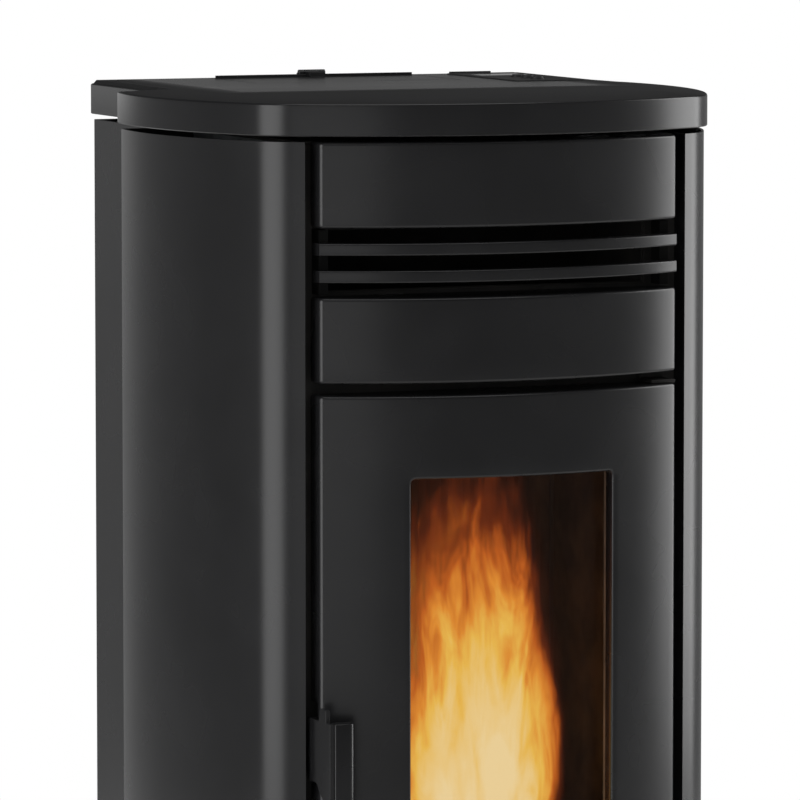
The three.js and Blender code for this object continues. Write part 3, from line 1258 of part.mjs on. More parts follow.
// Curved blades stand round the rim between two end discs.
function bladeRing( centre, x, radius, depth, count, thickness ) {

	const blades = [];
	for ( let i = 0; i < count; i ++ ) {

		const turn = 2 * Math.PI * i / count;
		const outline = [];
		for ( const [ r, lag ] of [ [ radius - depth, 0 ], [ radius - depth / 2, 0.10 ], [ radius, 0.32 ] ] ) {

			outline.push( [ r, turn - lag ] );

		}

		const back = outline.map( ( [ r, angle ] ) => [ r, angle + thickness / r ] ).reverse();
		blades.push( sidePrism( [ ...outline, ...back ].map( ( [ r, angle ] ) =>
			[ centre[ 0 ] + r * Math.cos( angle ), centre[ 1 ] + r * Math.sin( angle ) ] ), x ) );

	}

	return blades;

}

function roomFanRotor() {

	const centre = [ ROOM_FAN_Y, ROOM_FAN_Z ];
	const x = grown( fanX, - ROOM_FAN_END_GAP );
	const discs = [ span( x[ 0 ], 3 ), about( ( x[ 0 ] + x[ 1 ] ) / 2, 1.5 ), span( x[ 1 ] - 3, 3 ) ]
		.map( ( at ) => rod( 'x', ROOM_ROTOR_RADIUS, at, centre, 20 ) );
	const blades = bladeRing( centre, grown( x, - 1 ), ROOM_ROTOR_RADIUS, ROOM_BLADE_DEPTH,
		ROOM_ROTOR_BLADES, 1.5 );
	const shaft = rod( 'x', ROOM_SHAFT_RADIUS, [ fanX[ 0 ] + FAN_SHEET + GAP, fanX[ 1 ] - GAP ], centre, 12 );
	return join( shaft, ...discs, ...blades );

}

// A scroll of sheet with two end plates, open to the rear grille and to the space above.
function roomFanHousing() {

	const steps = 14;
	const scroll = ( by ) => Array.from( { length: steps + 1 }, ( _, i ) => {

		const angle = ( 150 + 240 * i / steps ) * DEGREE;
		const r = ROOM_FAN_SCROLL - ROOM_FAN_TIGHTENS * i / steps + by;
		return [ ROOM_FAN_Y + r * Math.cos( angle ), ROOM_FAN_Z + r * Math.sin( angle ) ];

	} );
	const sheet = sidePrism( [ ...scroll( 0 ), ...scroll( - FAN_SHEET ).reverse() ], fanX );
	const ends = fanX.map( ( x ) => rod( 'x', ROOM_FAN_SCROLL - 1, span( x, FAN_SHEET ),
		[ ROOM_FAN_Y, ROOM_FAN_Z ], 24 ) );
	const motor = rod( 'x', ROOM_MOTOR_RADIUS, span( fanX[ 1 ] + 1, ROOM_MOTOR_LENGTH ),
		[ ROOM_FAN_Y, ROOM_FAN_Z ] );
	const foot = box( fanX, about( ROOM_FAN_Y, 20 ), [ BASE_TOP + GAP, ROOM_FAN_Z - ROOM_FAN_SCROLL + 8 ] );
	const clear = rod( 'x', ROOM_FAN_SCROLL - 7, [ fanX[ 0 ] + FAN_SHEET, fanX[ 1 ] ],
		[ ROOM_FAN_Y, ROOM_FAN_Z ], 24 );
	return join( cut( join( sheet, foot ), clear ), ...ends, motor );

}

function smokeFanHousing() {

	const centre = [ SMOKE_FAN_Y, SMOKE_FAN_Z ];
	const x = about( SMOKE_FAN_X, SMOKE_FAN_HALF_WIDTH );
	const top = SMOKE_FAN_Z + SMOKE_FAN_RADIUS;
	const outletZ = [ top - 2 * SMOKE_FAN_HALF_WIDTH, top ];
	const rear = CASING_BACK_INNER - GAP - 4;
	const outer = join( rod( 'x', SMOKE_FAN_RADIUS, x, centre, 28 ),
		box( x, [ SMOKE_FAN_Y, rear ], outletZ ) );
	const inner = join(
		rod( 'x', SMOKE_FAN_RADIUS - SMOKE_FAN_SHEET, grown( x, - SMOKE_FAN_SHEET ), centre, 28 ),
		box( grown( x, - SMOKE_FAN_SHEET ), [ SMOKE_FAN_Y, rear - SMOKE_FAN_SHEET ],
			grown( outletZ, - SMOKE_FAN_SHEET ) ) );
	const motor = rod( 'x', MOTOR_RADIUS,
		[ x[ 1 ] - 1, CHASSIS_HALF_WIDTH - CHASSIS_SHEET - GAP ], centre, 24 );
	const stand = box( about( SMOKE_FAN_X, 24 ), about( SMOKE_FAN_Y, 30 ), [ BASE_TOP + GAP, SMOKE_FAN_Z ] );
	return cut( join( outer, motor, stand ), inner,
		rod( 'x', SMOKE_INLET_RADIUS, [ x[ 0 ] - 1, x[ 0 ] + 4 ], centre, 24 ),
		rod( 'y', FLUE_RADIUS - FLUE_WALL - 1, [ rear - 4, rear + 1 ], [ SMOKE_FAN_X, FLUE_Z ], 28 ) );

}

function smokeFanRotor() {

	const centre = [ SMOKE_FAN_Y, SMOKE_FAN_Z ];
	const x = grown( about( SMOKE_FAN_X, SMOKE_FAN_HALF_WIDTH ), - SMOKE_FAN_SHEET );
	const disc = rod( 'x', SMOKE_ROTOR_RADIUS, [ x[ 1 ] - 10, x[ 1 ] - 7 ], centre, 24 );
	const blades = bladeRing( centre, [ x[ 0 ] + 12, x[ 1 ] - 8 ], SMOKE_ROTOR_RADIUS, 36,
		SMOKE_ROTOR_BLADES, 2.5 );
	return join( disc, rod( 'x', 10, [ x[ 1 ] - 30, x[ 1 ] - GAP ], centre, 16 ), ...blades );

}

function flueSpigot() {

	const centre = [ SMOKE_FAN_X, FLUE_Z ];
	const start = CASING_BACK_INNER - 4;
	return join( pipe( 'y', FLUE_RADIUS, FLUE_WALL, [ start, OVERALL_DEPTH ], centre ),
		pipe( 'y', FLUE_RADIUS + 8, 9, [ start, start + 3 ], centre ) );

}

const airIntake = () => pipe( 'y', INTAKE_RADIUS, 2, [ FIREBOX_BACK + GAP, CASING_BACK + INTAKE_LENGTH ],
	[ INTAKE_X, INTAKE_Z ] );

// ---------------------------------------------------------------- electrics

function controlBoard() {

	const face = - CHASSIS_HALF_WIDTH + CHASSIS_SHEET + GAP;
	const y = span( BOARD_Y, BOARD_SIZE );
	const z = span( BOARD_Z, BOARD_SIZE );
	const back = face + BOARD_STANDOFF;
	const board = box( span( back, BOARD_THICKNESS ), y, z );
	const postZ = grown( z, - BOARD_POST_EDGE );
	const posts = grown( y, - BOARD_POST_EDGE ).flatMap( ( py ) => postZ.map( ( pz ) =>
		rod( 'x', BOARD_POST_RADIUS, [ face, back + 1 ], [ py, pz ], 8 ) ) );
	const parts = BOARD_PARTS.map( ( { at, size } ) => box( [ back + 1, back + BOARD_THICKNESS + size[ 2 ] ],
		span( y[ 0 ] + at[ 0 ], size[ 0 ] ), span( z[ 0 ] + at[ 1 ], size[ 1 ] ) ) );
	return join( board, ...posts, ...parts );

}

// An inlet with a recess for three contact blades, and a switch well above it, on one flange.
function mainsInlet() {

	const deep = [ CASING_BACK_INNER - 20, CASING_BACK + 1 ];
	const proud = [ CASING_BACK + GAP, CASING_BACK + 2 ];
	const well = box( grown( rockerX, 2 ), [ CASING_BACK - 14, CASING_BACK + 1 ], grown( rockerZ, 2 ) );
	const flange = box( grown( inletX, 5 ), proud, [ inletZ[ 0 ] - 5, rockerZ[ 1 ] + 5 ] );
	const recess = box( grown( inletX, - 3 ), [ CASING_BACK - 14, CASING_BACK + 3 ], grown( inletZ, - 3 ) );
	const blades = [ - 8, 0, 8 ].map( ( dx ) => box( about( INLET_X + dx, 1 ),
		[ CASING_BACK - 16, CASING_BACK - 2 ],
		about( INLET_Z + ( dx ? - 3 : 4 ), 2.5 ) ) );
	return join( cut( join( box( inletX, deep, inletZ ), well, flange ), recess,
		box( rockerX, [ CASING_BACK - 11, CASING_BACK + 3 ], rockerZ ) ), ...blades );

}

// The rocker is a shallow wedge that turns on its middle line.
function rockerSwitch() {

	const y = CASING_BACK - 4;
	const half = ROCKER_SIZE[ 1 ] / 2 - ROCKER_CLEARANCE;
	return sidePrism( [ [ y - 3, ROCKER_Z - 4 ], [ y + 2, ROCKER_Z - half ], [ y + 8, ROCKER_Z - half ],
		[ y + 6, ROCKER_Z ], [ y + 8, ROCKER_Z + half ], [ y + 2, ROCKER_Z + half ], [ y - 3, ROCKER_Z + 4 ] ],
	grown( rockerX, - 0.6 ) );

}

// ---------------------------------------------------------------- the stove

place( 'top_cover', topCover(), blackPaint() );
place( 'hopper_lid', hopperLid(), blackPaint() );
place( 'lid_hinge_pin', rod( 'x', LID_PIN_RADIUS, about( 0, 12 ), [ LID_AXIS_Y, LID_AXIS_Z ], 12 ),
	barePlate() );
place( 'lid_seal', lidSeal(), ropeGrey() );
place( 'control_panel', controlPanel(), blackPlastic() );
place( 'display_window', box( displayX, displayY, [ controlTop - 2 + GAP, controlTop ] ),
	blackPlastic() );
for ( let i = 0; i < BUTTON_COUNT; i ++ ) {

	place( `control_button_${ i + 1 }`, pushButton( i ), blackPlastic() );

}


place( 'left_side_panel', sidePanel( - 1 ), blackPaint() );
place( 'right_side_panel', sidePanel( 1 ), blackPaint() );
place( 'rear_casing', rearCasing(), blackPaint() );
place( 'upper_front_panel', fixedFrontPanel( [ UPPER_PANEL_BOTTOM, BODY_TOP ] ), blackPaint() );
place( 'louvre', louvre(), blackPaint() );
place( 'middle_front_panel', fixedFrontPanel( [ MIDDLE_PANEL_BOTTOM, MIDDLE_PANEL_TOP ] ), blackPaint() );

place( 'door_skin', doorSkin(), blackPaint() );
place( 'door_frame', doorFrame(), castIron() );
place( 'door_glass', doorGlass(), finish( 0x202020, 0.05 ) );
place( 'glass_seal', glassSeal(), ropeGrey() );
place( 'glass_retainer', glassRetainer(), darkSteel() );
place( 'door_seal', doorSeal(), ropeGrey() );
place( 'hinge_bracket_lower', lowerHingeBracket(), darkSteel() );
place( 'hinge_bracket_upper', upperHingeBracket(), darkSteel() );

place( 'handle_bar', handleBar(), blackPaint() );
place( 'handle_lever', handleLever(), darkSteel() );
place( 'handle_pin', handlePin(), barePlate() );
place( 'latch_keeper', latchKeeper(), darkSteel() );

place( 'chassis_base', chassisBase(), blackPaint() );
footCentres.forEach( ( centre, i ) =>
	place( `levelling_foot_${ i + 1 }`, levellingFoot( centre ), darkSteel() ) );
place( 'chassis_front_plate', chassisFrontPlate(), darkSteel() );
place( 'chassis_left_side', chassisSide( - 1 ), barePlate() );
place( 'chassis_right_side', chassisSide( 1 ), barePlate() );
place( 'top_frame', topFrame(), darkSteel() );

place( 'firebox', firebox(), darkSteel() );
place( 'firebox_back_plate', fireboxBackPlate(), castIron() );
place( 'baffle', baffle(), finish( 0xb59a6c, 0.95 ) );
place( 'burner_support', burnerSupport(), castIron() );
place( 'burner_pot', burnerPot(), castIron() );
place( 'igniter', igniter(), barePlate() );
place( 'air_duct', airDuct(), barePlate() );

place( 'ash_drawer_front', foldedFront( [ DRAWER_FRONT_BOTTOM, DRAWER_FRONT_TOP ] ), blackPaint() );
place( 'ash_pan', ashPan(), barePlate() );

place( 'hopper', hopper(), barePlate() );
place( 'hopper_grid', hopperGrid(), barePlate() );
place( 'feed_tube', feedTube(), darkSteel() );
place( 'feed_screw', feedScrew(), barePlate() );
place( 'gearmotor', gearmotor(), barePlate() );

place( 'room_fan_housing', roomFanHousing(), barePlate() );
place( 'room_fan_rotor', roomFanRotor(), barePlate() );
place( 'smoke_fan_housing', smokeFanHousing(), barePlate() );
place( 'smoke_fan_rotor', smokeFanRotor(), barePlate() );
place( 'smoke_duct', smokeDuct(), darkSteel() );
place( 'flue_spigot', flueSpigot(), darkSteel() );
place( 'air_intake', airIntake(), barePlate() );

place( 'control_board', controlBoard(), finish( 0x2f5b3c, 0.6 ) );
place( 'mains_inlet', mainsInlet(), blackPlastic() );
place( 'rocker_switch', rockerSwitch(), blackPlastic() );

stove.position.set( 0, - OVERALL_DEPTH / 2, 0 );

export default stove;
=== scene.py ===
"""Pellet stove: smooth painted shells, seals, glass, flame and finishes around its CAD frame.

Lengths in the shape functions are millimetres, with Y counted from the front of the cover,
and put_in_frame() turns them into the frame's metres.
"""

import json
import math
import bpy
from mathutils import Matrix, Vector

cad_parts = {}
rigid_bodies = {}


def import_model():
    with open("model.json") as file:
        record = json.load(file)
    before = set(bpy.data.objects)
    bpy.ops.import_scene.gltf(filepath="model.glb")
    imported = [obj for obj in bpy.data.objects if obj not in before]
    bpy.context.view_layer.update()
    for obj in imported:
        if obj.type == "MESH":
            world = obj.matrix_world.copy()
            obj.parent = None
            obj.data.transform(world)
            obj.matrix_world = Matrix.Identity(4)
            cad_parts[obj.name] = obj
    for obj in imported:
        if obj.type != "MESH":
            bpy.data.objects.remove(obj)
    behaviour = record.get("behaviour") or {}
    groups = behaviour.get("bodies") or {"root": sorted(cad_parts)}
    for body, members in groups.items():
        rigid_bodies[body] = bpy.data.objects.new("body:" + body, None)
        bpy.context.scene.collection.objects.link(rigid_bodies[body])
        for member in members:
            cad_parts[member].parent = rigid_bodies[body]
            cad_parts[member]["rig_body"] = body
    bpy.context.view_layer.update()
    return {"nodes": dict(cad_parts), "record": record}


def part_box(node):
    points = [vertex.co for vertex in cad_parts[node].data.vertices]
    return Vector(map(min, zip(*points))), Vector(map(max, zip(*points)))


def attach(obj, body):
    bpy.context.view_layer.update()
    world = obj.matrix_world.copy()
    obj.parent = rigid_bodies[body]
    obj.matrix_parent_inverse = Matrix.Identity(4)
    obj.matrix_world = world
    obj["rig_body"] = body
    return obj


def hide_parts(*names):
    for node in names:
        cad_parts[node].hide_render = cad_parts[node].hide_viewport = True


bl_info = {
    "name": "Pellet stove",
    "version": (1, 0, 0),
    "blender": (4, 5, 0),
    "location": "View3D > Sidebar > Stove",
    "description": "Painted shells, seals, glass, flame and finishes around the stove's CAD frame",
    "category": "Object",
}

import bmesh
import bpy
import numpy as np
from bpy.props import FloatProperty, FloatVectorProperty, PointerProperty
from bpy.types import Operator, Panel, PropertyGroup
from mathutils import Vector
from mathutils.geometry import tessellate_polygon

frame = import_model()

MM = 0.001
FRONT_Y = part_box("top_cover")[0].y / MM

# The barrel-shaped plan: front arc, corner arc and bowed side, with each arc's steps, then the square
# rear. The corner is a little softer than the solids'.
FRONT_RADIUS = 368
FRONT_ANGLE = 30.86
CORNER_RADIUS = 70
CORNER_ANGLE = 63
SIDE_RADIUS = 380
SIDE_REAR = 327
CASING_HALF_WIDTH = 215
COVER_REAR = 492
REAR_ROUND = 2.5
PANEL_INSET = 3
ARC_STEPS = (32, 18, 28)

# Touching meshes keep the seam's gap, and points closer than CLOSE count as on the same line.
SEAM = 0.3
CLOSE = 0.01

# The cover, its openings, and the hinge lugs and lips round the lid and the controls. The roots are how
# far lugs and lips reach below the cover's top.
COVER_FALL = 3
COVER_WALL = 4
COVER_BAND = 42
RIM_EDGE = 0.8
PANEL_RISE = 1
LID_SEAL_INSET = 1
LID_GAP = 1.5
PANEL_GAP = 1.0
LID_LUG = (7.8, 12.8)
LID_LUG_LENGTH = 8
LID_LUG_RADIUS = 3
LID_LUG_ROOT = 3
LID_LIP = (-98, 98)
LID_LIP_SETBACK = 3
PANEL_LIP = (134, 176)
LIP_THICKNESS = 2
LIP_RISE = 2.5
LIP_ROOT = 1

# The folded sheets of sides, front panels and door.
SHEET = 2.5
SHEET_EDGE = 0.4
PAN_BACK = 64
SIDE_FOLD = 7
SIDE_END_ROUND = 3
PAN_LUG_X = (118, 122)
PAN_LUG_FRONT = 45
PAN_LUG_MARGIN = 3
GLASS_EDGE = 12
WINDOW_FOLD = 2.5
WINDOW_CORNER = 7
NOTCH_DROP = 266
NOTCH_HEIGHT = 72
NOTCH_FRONT = 49.5
GRID_STEP = 12
FRONT_STEP = 4
RETURN_COLUMNS = 15

# The louvre: its slots, slats and brackets.
LOUVRE_SLOT = 13
SLAT_HEIGHT = 10.5
SLAT_DEPTH = 14
SLAT_ROUND = 1.6
SLAT_STEPS = 60
BRACKET_X = (157, 165)
BRACKET_FRONT = 54
BRACKET_MARGIN = 1

# The grip: the radii of its corners, with the front one by the window second, and how far its ends
# draw in at their last rows.
GRIP_ROUND = (1.6, 7, 1.6, 1.6)
GRIP_END = (1.2, 0.35, 0)

# The door's rope: its radius, how much the door spreads it, and the corners of its loop.
ROPE_RADIUS = 4.7
ROPE_SPREAD = 1.25
ROPE_CORNER = 9

# The flame: the middle of its foot in X and Y, its depth as a share of its width, how far its heat
# reaches to a side and up, how far its foot lies below the pot's rim, the share of its height over which
# it swells, its sway, and the coldness where its UV map ends. Each body has its shift in X and Y, its
# share of the flame's height, its half width and the phase of its sway.
FLAME_MIDDLE = (1, 112)
FLAME_FLATNESS = 0.3
FLAME_HALF_WIDTH = 67
FLAME_REACH = 288
FLAME_FOOT = 30
FLAME_SWELL = 0.15
FLAME_SWAY = 6
FLAME_COLDEST = 1.5
FLAME_BODIES = ((3, 0, 1.12, 104, 0.4), (3, -4, 1.02, 90, 2.0), (-2, -8, 0.85, 66, 3.6))

# Meshes: points within these metres are merged, in new grids and in copies of CAD nodes. Faces within
# the flat angle's degrees are joined, and edges over the fold angle's are rounded. A sheet's front faces
# away from the point inside the stove.
MERGE = 2e-6
CAD_MERGE = 3e-6
FLAT_ANGLE = 0.8
FOLD_ANGLE = 35
INSIDE = (0, 250, 600)

# The stage, in metres and degrees: the floor, the camera with its sensor in millimetres and its focal
# length in pixels, what the lamps aim at, and each lamp's place, width and height, and power setting.
FLOOR_RADIUS = 2.5
FLOOR_SIDES = 96
FLOOR_Z = -0.0005
FLOOR_FADE = (0.6, 2.2)
FOCAL_PIXELS = 6428.6
PICTURE_PIXELS = 800
SENSOR = 36
CAMERA_PLACE = (-2.2241, -5.3265, 1.3656)
CAMERA_DOWN = 5.4026
CAMERA_TURN = 22.6647
LAMP_AIM = (0, 0, 0.6)
LAMPS = {
    "left_soft_box": ((-2.55, -0.8, 1.0), (1.5, 2.6), "left_power"),
    "right_soft_box": ((2.65, -0.3, 1.35), (1.25, 2.6), "right_power"),
    "front_fill": ((-1.9, -3.2, 0.9), (1.8, 1.8), "front_power"),
    "top_soft_box": ((0.0, -0.6, 3.4), (2.4, 2.0), "top_power"),
}

# The room that gloss mirrors, as parts of the unit direction: where the white sweep begins behind the
# object, ends above and begins below, and where the walls dim to their ceiling. The shares are the
# light that is left below the sweep and at the ceiling.
SWEEP_BEHIND = (0.93, 0.99)
SWEEP_TOP = (0.04, 0.15)
SWEEP_FOOT = (-0.06, 0.0)
SWEEP_FOOT_SHARE = 0.12
WALL_TOP = (0.08, 0.22)
CEILING_SHARE = 0.15

# The cover's level field turns matt between these X at each side and between these Y in front. Below
# the rim's top, over the third height, the paint turns smooth again.
FIELD_SIDE = (170, 200)
FIELD_FRONT = (190, 215)
FIELD_RIM = 0.5

# How much the glass covers what is behind it, and the strength of the flame's light.
GLASS_COVER = 0.12
FLAME_POWER = 1.17


# ---- sizes and colours


def linear(code):
    """A colour written as an sRGB hex value, as linear RGBA."""
    channels = [int(code[i : i + 2], 16) / 255 for i in (1, 3, 5)]
    rgb = [c / 12.92 if c <= 0.04045 else ((c + 0.055) / 1.055) ** 2.4 for c in channels]
    return (*rgb, 1.0)


def length(name, description, default):
    return FloatProperty(name=name, description=description, default=default, unit="LENGTH")


def power(name, description, default):
    return FloatProperty(name=name, description=description, default=default, subtype="POWER")


def colour(name, description, code):
    return FloatVectorProperty(
        name=name, description=description, size=4, subtype="COLOR", default=linear(code))


class StoveSizes(PropertyGroup):
    fold_radius: length("Fold radius", "Outer radius of the panels' upper and lower folds", 0.003)
    rim_radius: length("Rim radius", "Rounding of the cover's top edge", 0.002)
    casting_edge: length("Casting edge", "Rounding of the machined and cast parts", 0.0005)
    rope_strand: length("Rope strand", "Width of one strand of the door rope", 0.0035)
    flame_height: length("Flame height", "Height of the flame above the pot", 0.285)


class StoveColours(PropertyGroup):
    paint: colour("Paint", "Satin black stove paint", "#151516")
    cast_iron: colour("Cast iron", "Heat-darkened castings of the fire chamber", "#4a3829")
    board: colour("Baffle board", "Vermiculite board of the baffle", "#8c7a60")
    rope: colour("Rope", "Glass-fibre rope of the seals", "#5d5b57")
    flame: colour("Flame", "Heart of the flame", "#f2d59c")


class StoveStage(PropertyGroup):
    left_power: power("Left lamp", "Power of the tall soft box at the left", 50.0)
    right_power: power("Right lamp", "Power of the tall soft box at the right", 60.0)
    front_power: power("Front lamp", "Power of the fill light in front", 8.0)
    top_power: power("Top lamp", "Power of the soft box above", 30.0)
    room: FloatProperty(
        name="Room light", description="Strength of the studio's even light", default=0.6)
    mirrored_room: FloatProperty(
        name="Mirrored room", description="Brightness of the studio's walls as gloss shows them",
        default=0.3)


# ---- meshes


def put_in_frame(points):
    """Millimetres from the cover's front become the frame's metres."""
    return (np.asarray(points, float) + (0, FRONT_Y, 0)) * MM


def reach(node):
    """A CAD node's lowest and highest corners, in millimetres from the cover's front."""
    low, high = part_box(node)
    shift = np.array((0, FRONT_Y, 0))
    return np.array(low) / MM - shift, np.array(high) / MM - shift


COVER_TOP = reach("control_panel")[1][2] - PANEL_RISE
LID_REAR = reach("lid_seal")[1][1] + LID_SEAL_INSET
FRAME_FACE = reach("door_frame")[0][1]
SIDE_FLANGE = reach("right_side_panel")[0][0]
FLANGE_BACK = reach("chassis_front_plate")[0][1] - SEAM
SLOT_OF = {part["node"]: part["material_slot"] for part in frame["record"]["subparts"]}


def home(node):
    """The body that a CAD node rides on, and its material slot."""
    return frame["nodes"][node]["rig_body"], SLOT_OF[node]


def both_sides(stretch):
    """A stretch of X at the left and at the right, each from its lower to its higher end."""
    near, far = stretch
    return (-far, -near), (near, far)


def grid_faces(rows, columns, closed=False, keep=None):
    """Quads between neighbours of a rows x columns grid; closed joins the last column to the first."""
    index = np.arange(rows * columns).reshape(rows, columns)
    if closed:
        index = np.concatenate((index, index[:, :1]), axis=1)
    quads = np.stack((index[:-1, :-1], index[:-1, 1:], index[1:, 1:], index[1:, :-1]), axis=-1)
    return quads[keep] if keep is not None else quads.reshape(-1, 4)


class Shape:
    """Points and faces gathered from several grids before they become one mesh."""

    def __init__(self):
        self.points, self.faces, self.count = [], [], 0

    def add(self, points, faces):
        points = np.asarray(points, float).reshape(-1, 3)
        self.faces += [[int(i) + self.count for i in face] for face in faces]
        self.points.append(points)
        self.count += len(points)
        return self

    def block(self, low, high):
        """A box between two corners."""
        corner = np.array(np.meshgrid(*zip(low, high), indexing="ij")).reshape(3, -1).T
        sides = [(0, 1, 3, 2), (4, 6, 7, 5), (0, 4, 5, 1), (2, 3, 7, 6), (0, 2, 6, 4), (1, 5, 7, 3)]
        return self.add(corner, sides)

    def rod(self, start, end, radius, sides=24):
        """A round bar: a tube between a circle of points at each end."""
        start, end = np.array(start, float), np.array(end, float)
        axis = (end - start) / np.linalg.norm(end - start)
        side = np.cross(axis, (0, 0, 1) if abs(axis[2]) < 0.9 else (1, 0, 0))
        side /= np.linalg.norm(side)
        turn = np.linspace(0, 2 * np.pi, sides, endpoint=False)[:, None]
        circle = radius * (np.cos(turn) * side + np.sin(turn) * np.cross(axis, side))
        return self.tube(np.stack((start + circle, end + circle)))

    def tube(self, rows):
        """Closed rows of points joined by quads, with a face on the first row and on the last."""
        last, count = len(rows) - 1, rows.shape[1]
        ends = [list(range(count)), list(range(last * count, (last + 1) * count))]
        return self.add(rows, [*grid_faces(last + 1, count, closed=True), *ends])


def smoothed(mesh, sharp=None):
    """The mesh shaded smooth, with its folds over an angle kept sharp."""
    mesh.polygons.foreach_set("use_smooth", np.ones(len(mesh.polygons), bool))
    if sharp:
        mesh.set_sharp_from_angle(angle=math.radians(sharp))
    return mesh


def make_piece(name, shape, node, finish, replaces=True, sharp=32, thick=0, edge=0):
    """The gathered grids as one object in a CAD node's place, or beside it: doubles merged, faces
    outward, folds sharp over an angle."""
    mesh = bpy.data.meshes.new(name)
    mesh.from_pydata(put_in_frame(np.concatenate(shape.points)).tolist(), [], shape.faces)
    bm = bmesh.new()
    bm.from_mesh(mesh)
    bmesh.ops.remove_doubles(bm, verts=bm.verts, dist=MERGE)
    bmesh.ops.dissolve_degenerate(bm, dist=MERGE / 20, edges=bm.edges)
    bmesh.ops.recalc_face_normals(bm, faces=bm.faces)
    if thick:
        middle = Vector(put_in_frame(INSIDE))
        facing = sum((f.calc_center_median() - middle).dot(f.normal) * f.calc_area() for f in bm.faces)
        if facing < 0:
            bmesh.ops.reverse_faces(bm, faces=bm.faces)
    bm.to_mesh(mesh)
    bm.free()
    replaced = (node,) if replaces else ()
    return finish_piece(name, smoothed(mesh, sharp), home(node), finish, replaced, thick, edge)


def finish_piece(name, mesh, body_and_slot, finish, replaced=(), thick=0, edge=0):
    """Links the mesh as an object at the origin, gives it wall and edges, and rides it on its body."""
    body, slot = body_and_slot
    piece = bpy.data.objects.new(name, mesh)
    bpy.context.scene.collection.objects.link(piece)
    mesh.materials.append(MATERIALS[finish])
    if thick:
        wall = piece.modifiers.new("Sheet", "SOLIDIFY")
        wall.thickness = thick * MM
        wall.offset = -1
        wall.use_even_offset = True
    if edge:
        bevel = piece.modifiers.new("Edges", "BEVEL")
        bevel.width = edge * MM
        bevel.segments = 2
        bevel.limit_method = "ANGLE"
        bevel.angle_limit = math.radians(FOLD_ANGLE)
        bevel.harden_normals = True
    if replaced:
        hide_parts(*replaced)
    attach(piece, body)
    return piece


def dressed(node, finish, edge, sharp=30):
    """A copy of a CAD node with its doubles merged, flat faces joined, round faces shaded smooth and
    its edges rounded, in the node's place."""
    bm = bmesh.new()
    bm.from_mesh(frame["nodes"][node].data)
    bmesh.ops.remove_doubles(bm, verts=bm.verts, dist=CAD_MERGE)
    bmesh.ops.dissolve_limit(bm, angle_limit=math.radians(FLAT_ANGLE), verts=bm.verts, edges=bm.edges)
    mesh = bpy.data.meshes.new(node + "_dressed")
    bm.to_mesh(mesh)
    bm.free()
    return finish_piece(node + "_dressed", smoothed(mesh, sharp), home(node), finish, (node,), edge=edge)


# ---- curves of the plan


def arc(centre, radius, start, end, steps):
    """Points on a circle, at angles counted from straight ahead and growing to the back."""
    angle = np.radians(np.linspace(start, end, steps + 1))
    return np.column_stack((centre[0] + radius * np.sin(angle), centre[1] - radius * np.cos(angle)))


def outward(angle):
    """The direction at an angle from straight ahead."""
    return np.array((math.sin(math.radians(angle)), -math.cos(math.radians(angle))))


FRONT_CENTRE = np.array((0.0, FRONT_RADIUS))
CORNER_CENTRE = FRONT_CENTRE + outward(FRONT_ANGLE) * (FRONT_RADIUS - CORNER_RADIUS)
SIDE_CENTRE = CORNER_CENTRE + outward(CORNER_ANGLE) * (CORNER_RADIUS - SIDE_RADIUS)


def bowed_side(inset, start=0.0):
    """The right side from an angle on the front arc to the rear of the bowed side."""
    radius = SIDE_RADIUS - inset
    end = math.degrees(math.acos((SIDE_CENTRE[1] - SIDE_REAR + inset) / radius))
    return np.concatenate((
        arc(FRONT_CENTRE, FRONT_RADIUS - inset, start, FRONT_ANGLE, ARC_STEPS[0]),
        arc(CORNER_CENTRE, CORNER_RADIUS - inset, FRONT_ANGLE, CORNER_ANGLE, ARC_STEPS[1])[1:],
        arc(SIDE_CENTRE, radius, CORNER_ANGLE, end, ARC_STEPS[2])[1:],
    ))


def rounded(path, corners, length, steps=6):
    """Corners of a polyline become curves: a parabola from length before to length after each."""
    parts, last = [], 0
    t = np.linspace(0, 1, steps + 1)[:, None]
    for corner in corners:
        before, at, after = path[corner - 1], path[corner], path[corner + 1]
        a = at + (before - at) / np.linalg.norm(before - at) * min(length, np.linalg.norm(before - at) * 0.9)
        b = at + (after - at) / np.linalg.norm(after - at) * min(length, np.linalg.norm(after - at) * 0.9)
        parts += [path[last:corner], (1 - t) ** 2 * a + 2 * t * (1 - t) * at + t**2 * b]
        last = corner + 1
    return np.concatenate((*parts, path[last:]))


def whole_outline(inset, rear):
    """The closed outline of the plan, moved inward in front and at the rear, its rear corners a little
    rounded."""
    side = bowed_side(inset)
    x = CASING_HALF_WIDTH - rear
    right = np.concatenate((side, [(x, SIDE_REAR - rear), (x, COVER_REAR - rear), (0, COVER_REAR - rear)]))
    last = len(side) - 1
    right = rounded(right, [last, last + 1, last + 2], REAR_ROUND)
    return np.concatenate((right, right[1:-1][::-1] * (-1, 1)))


def lifted(rows, heights):
    """Rows of plan points, each row at its height."""
    heights = np.asarray(heights, float)[:, None, None]
    return np.concatenate((rows, np.broadcast_to(heights, (*rows.shape[:2], 1))), axis=2)


def upright(path, heights):
    """A plan path repeated at several heights, as rows of points."""
    return lifted(np.repeat(np.asarray(path, float)[None], len(heights), axis=0), heights)


def evenly(stops, size):
    """Values from the first stop to the last, one on each stop and the others about a size apart."""
    parts = [np.linspace(a, b, max(1, int((b - a) / size)), endpoint=False)
             for a, b in zip(stops, stops[1:])]
    return np.concatenate((*parts, stops[-1:]))


def within(points, low, high):
    """Which points lie between two corners."""
    return ((points > low) & (points < high)).all(axis=-1)


def rectangle(low, high, inset=0):
    """The four corners of a rectangle in turn, moved inward."""
    (x0, y0), (x1, y1) = np.add(low, inset), np.subtract(high, inset)
    return np.array(((x0, y0), (x1, y0), (x1, y1), (x0, y1)))


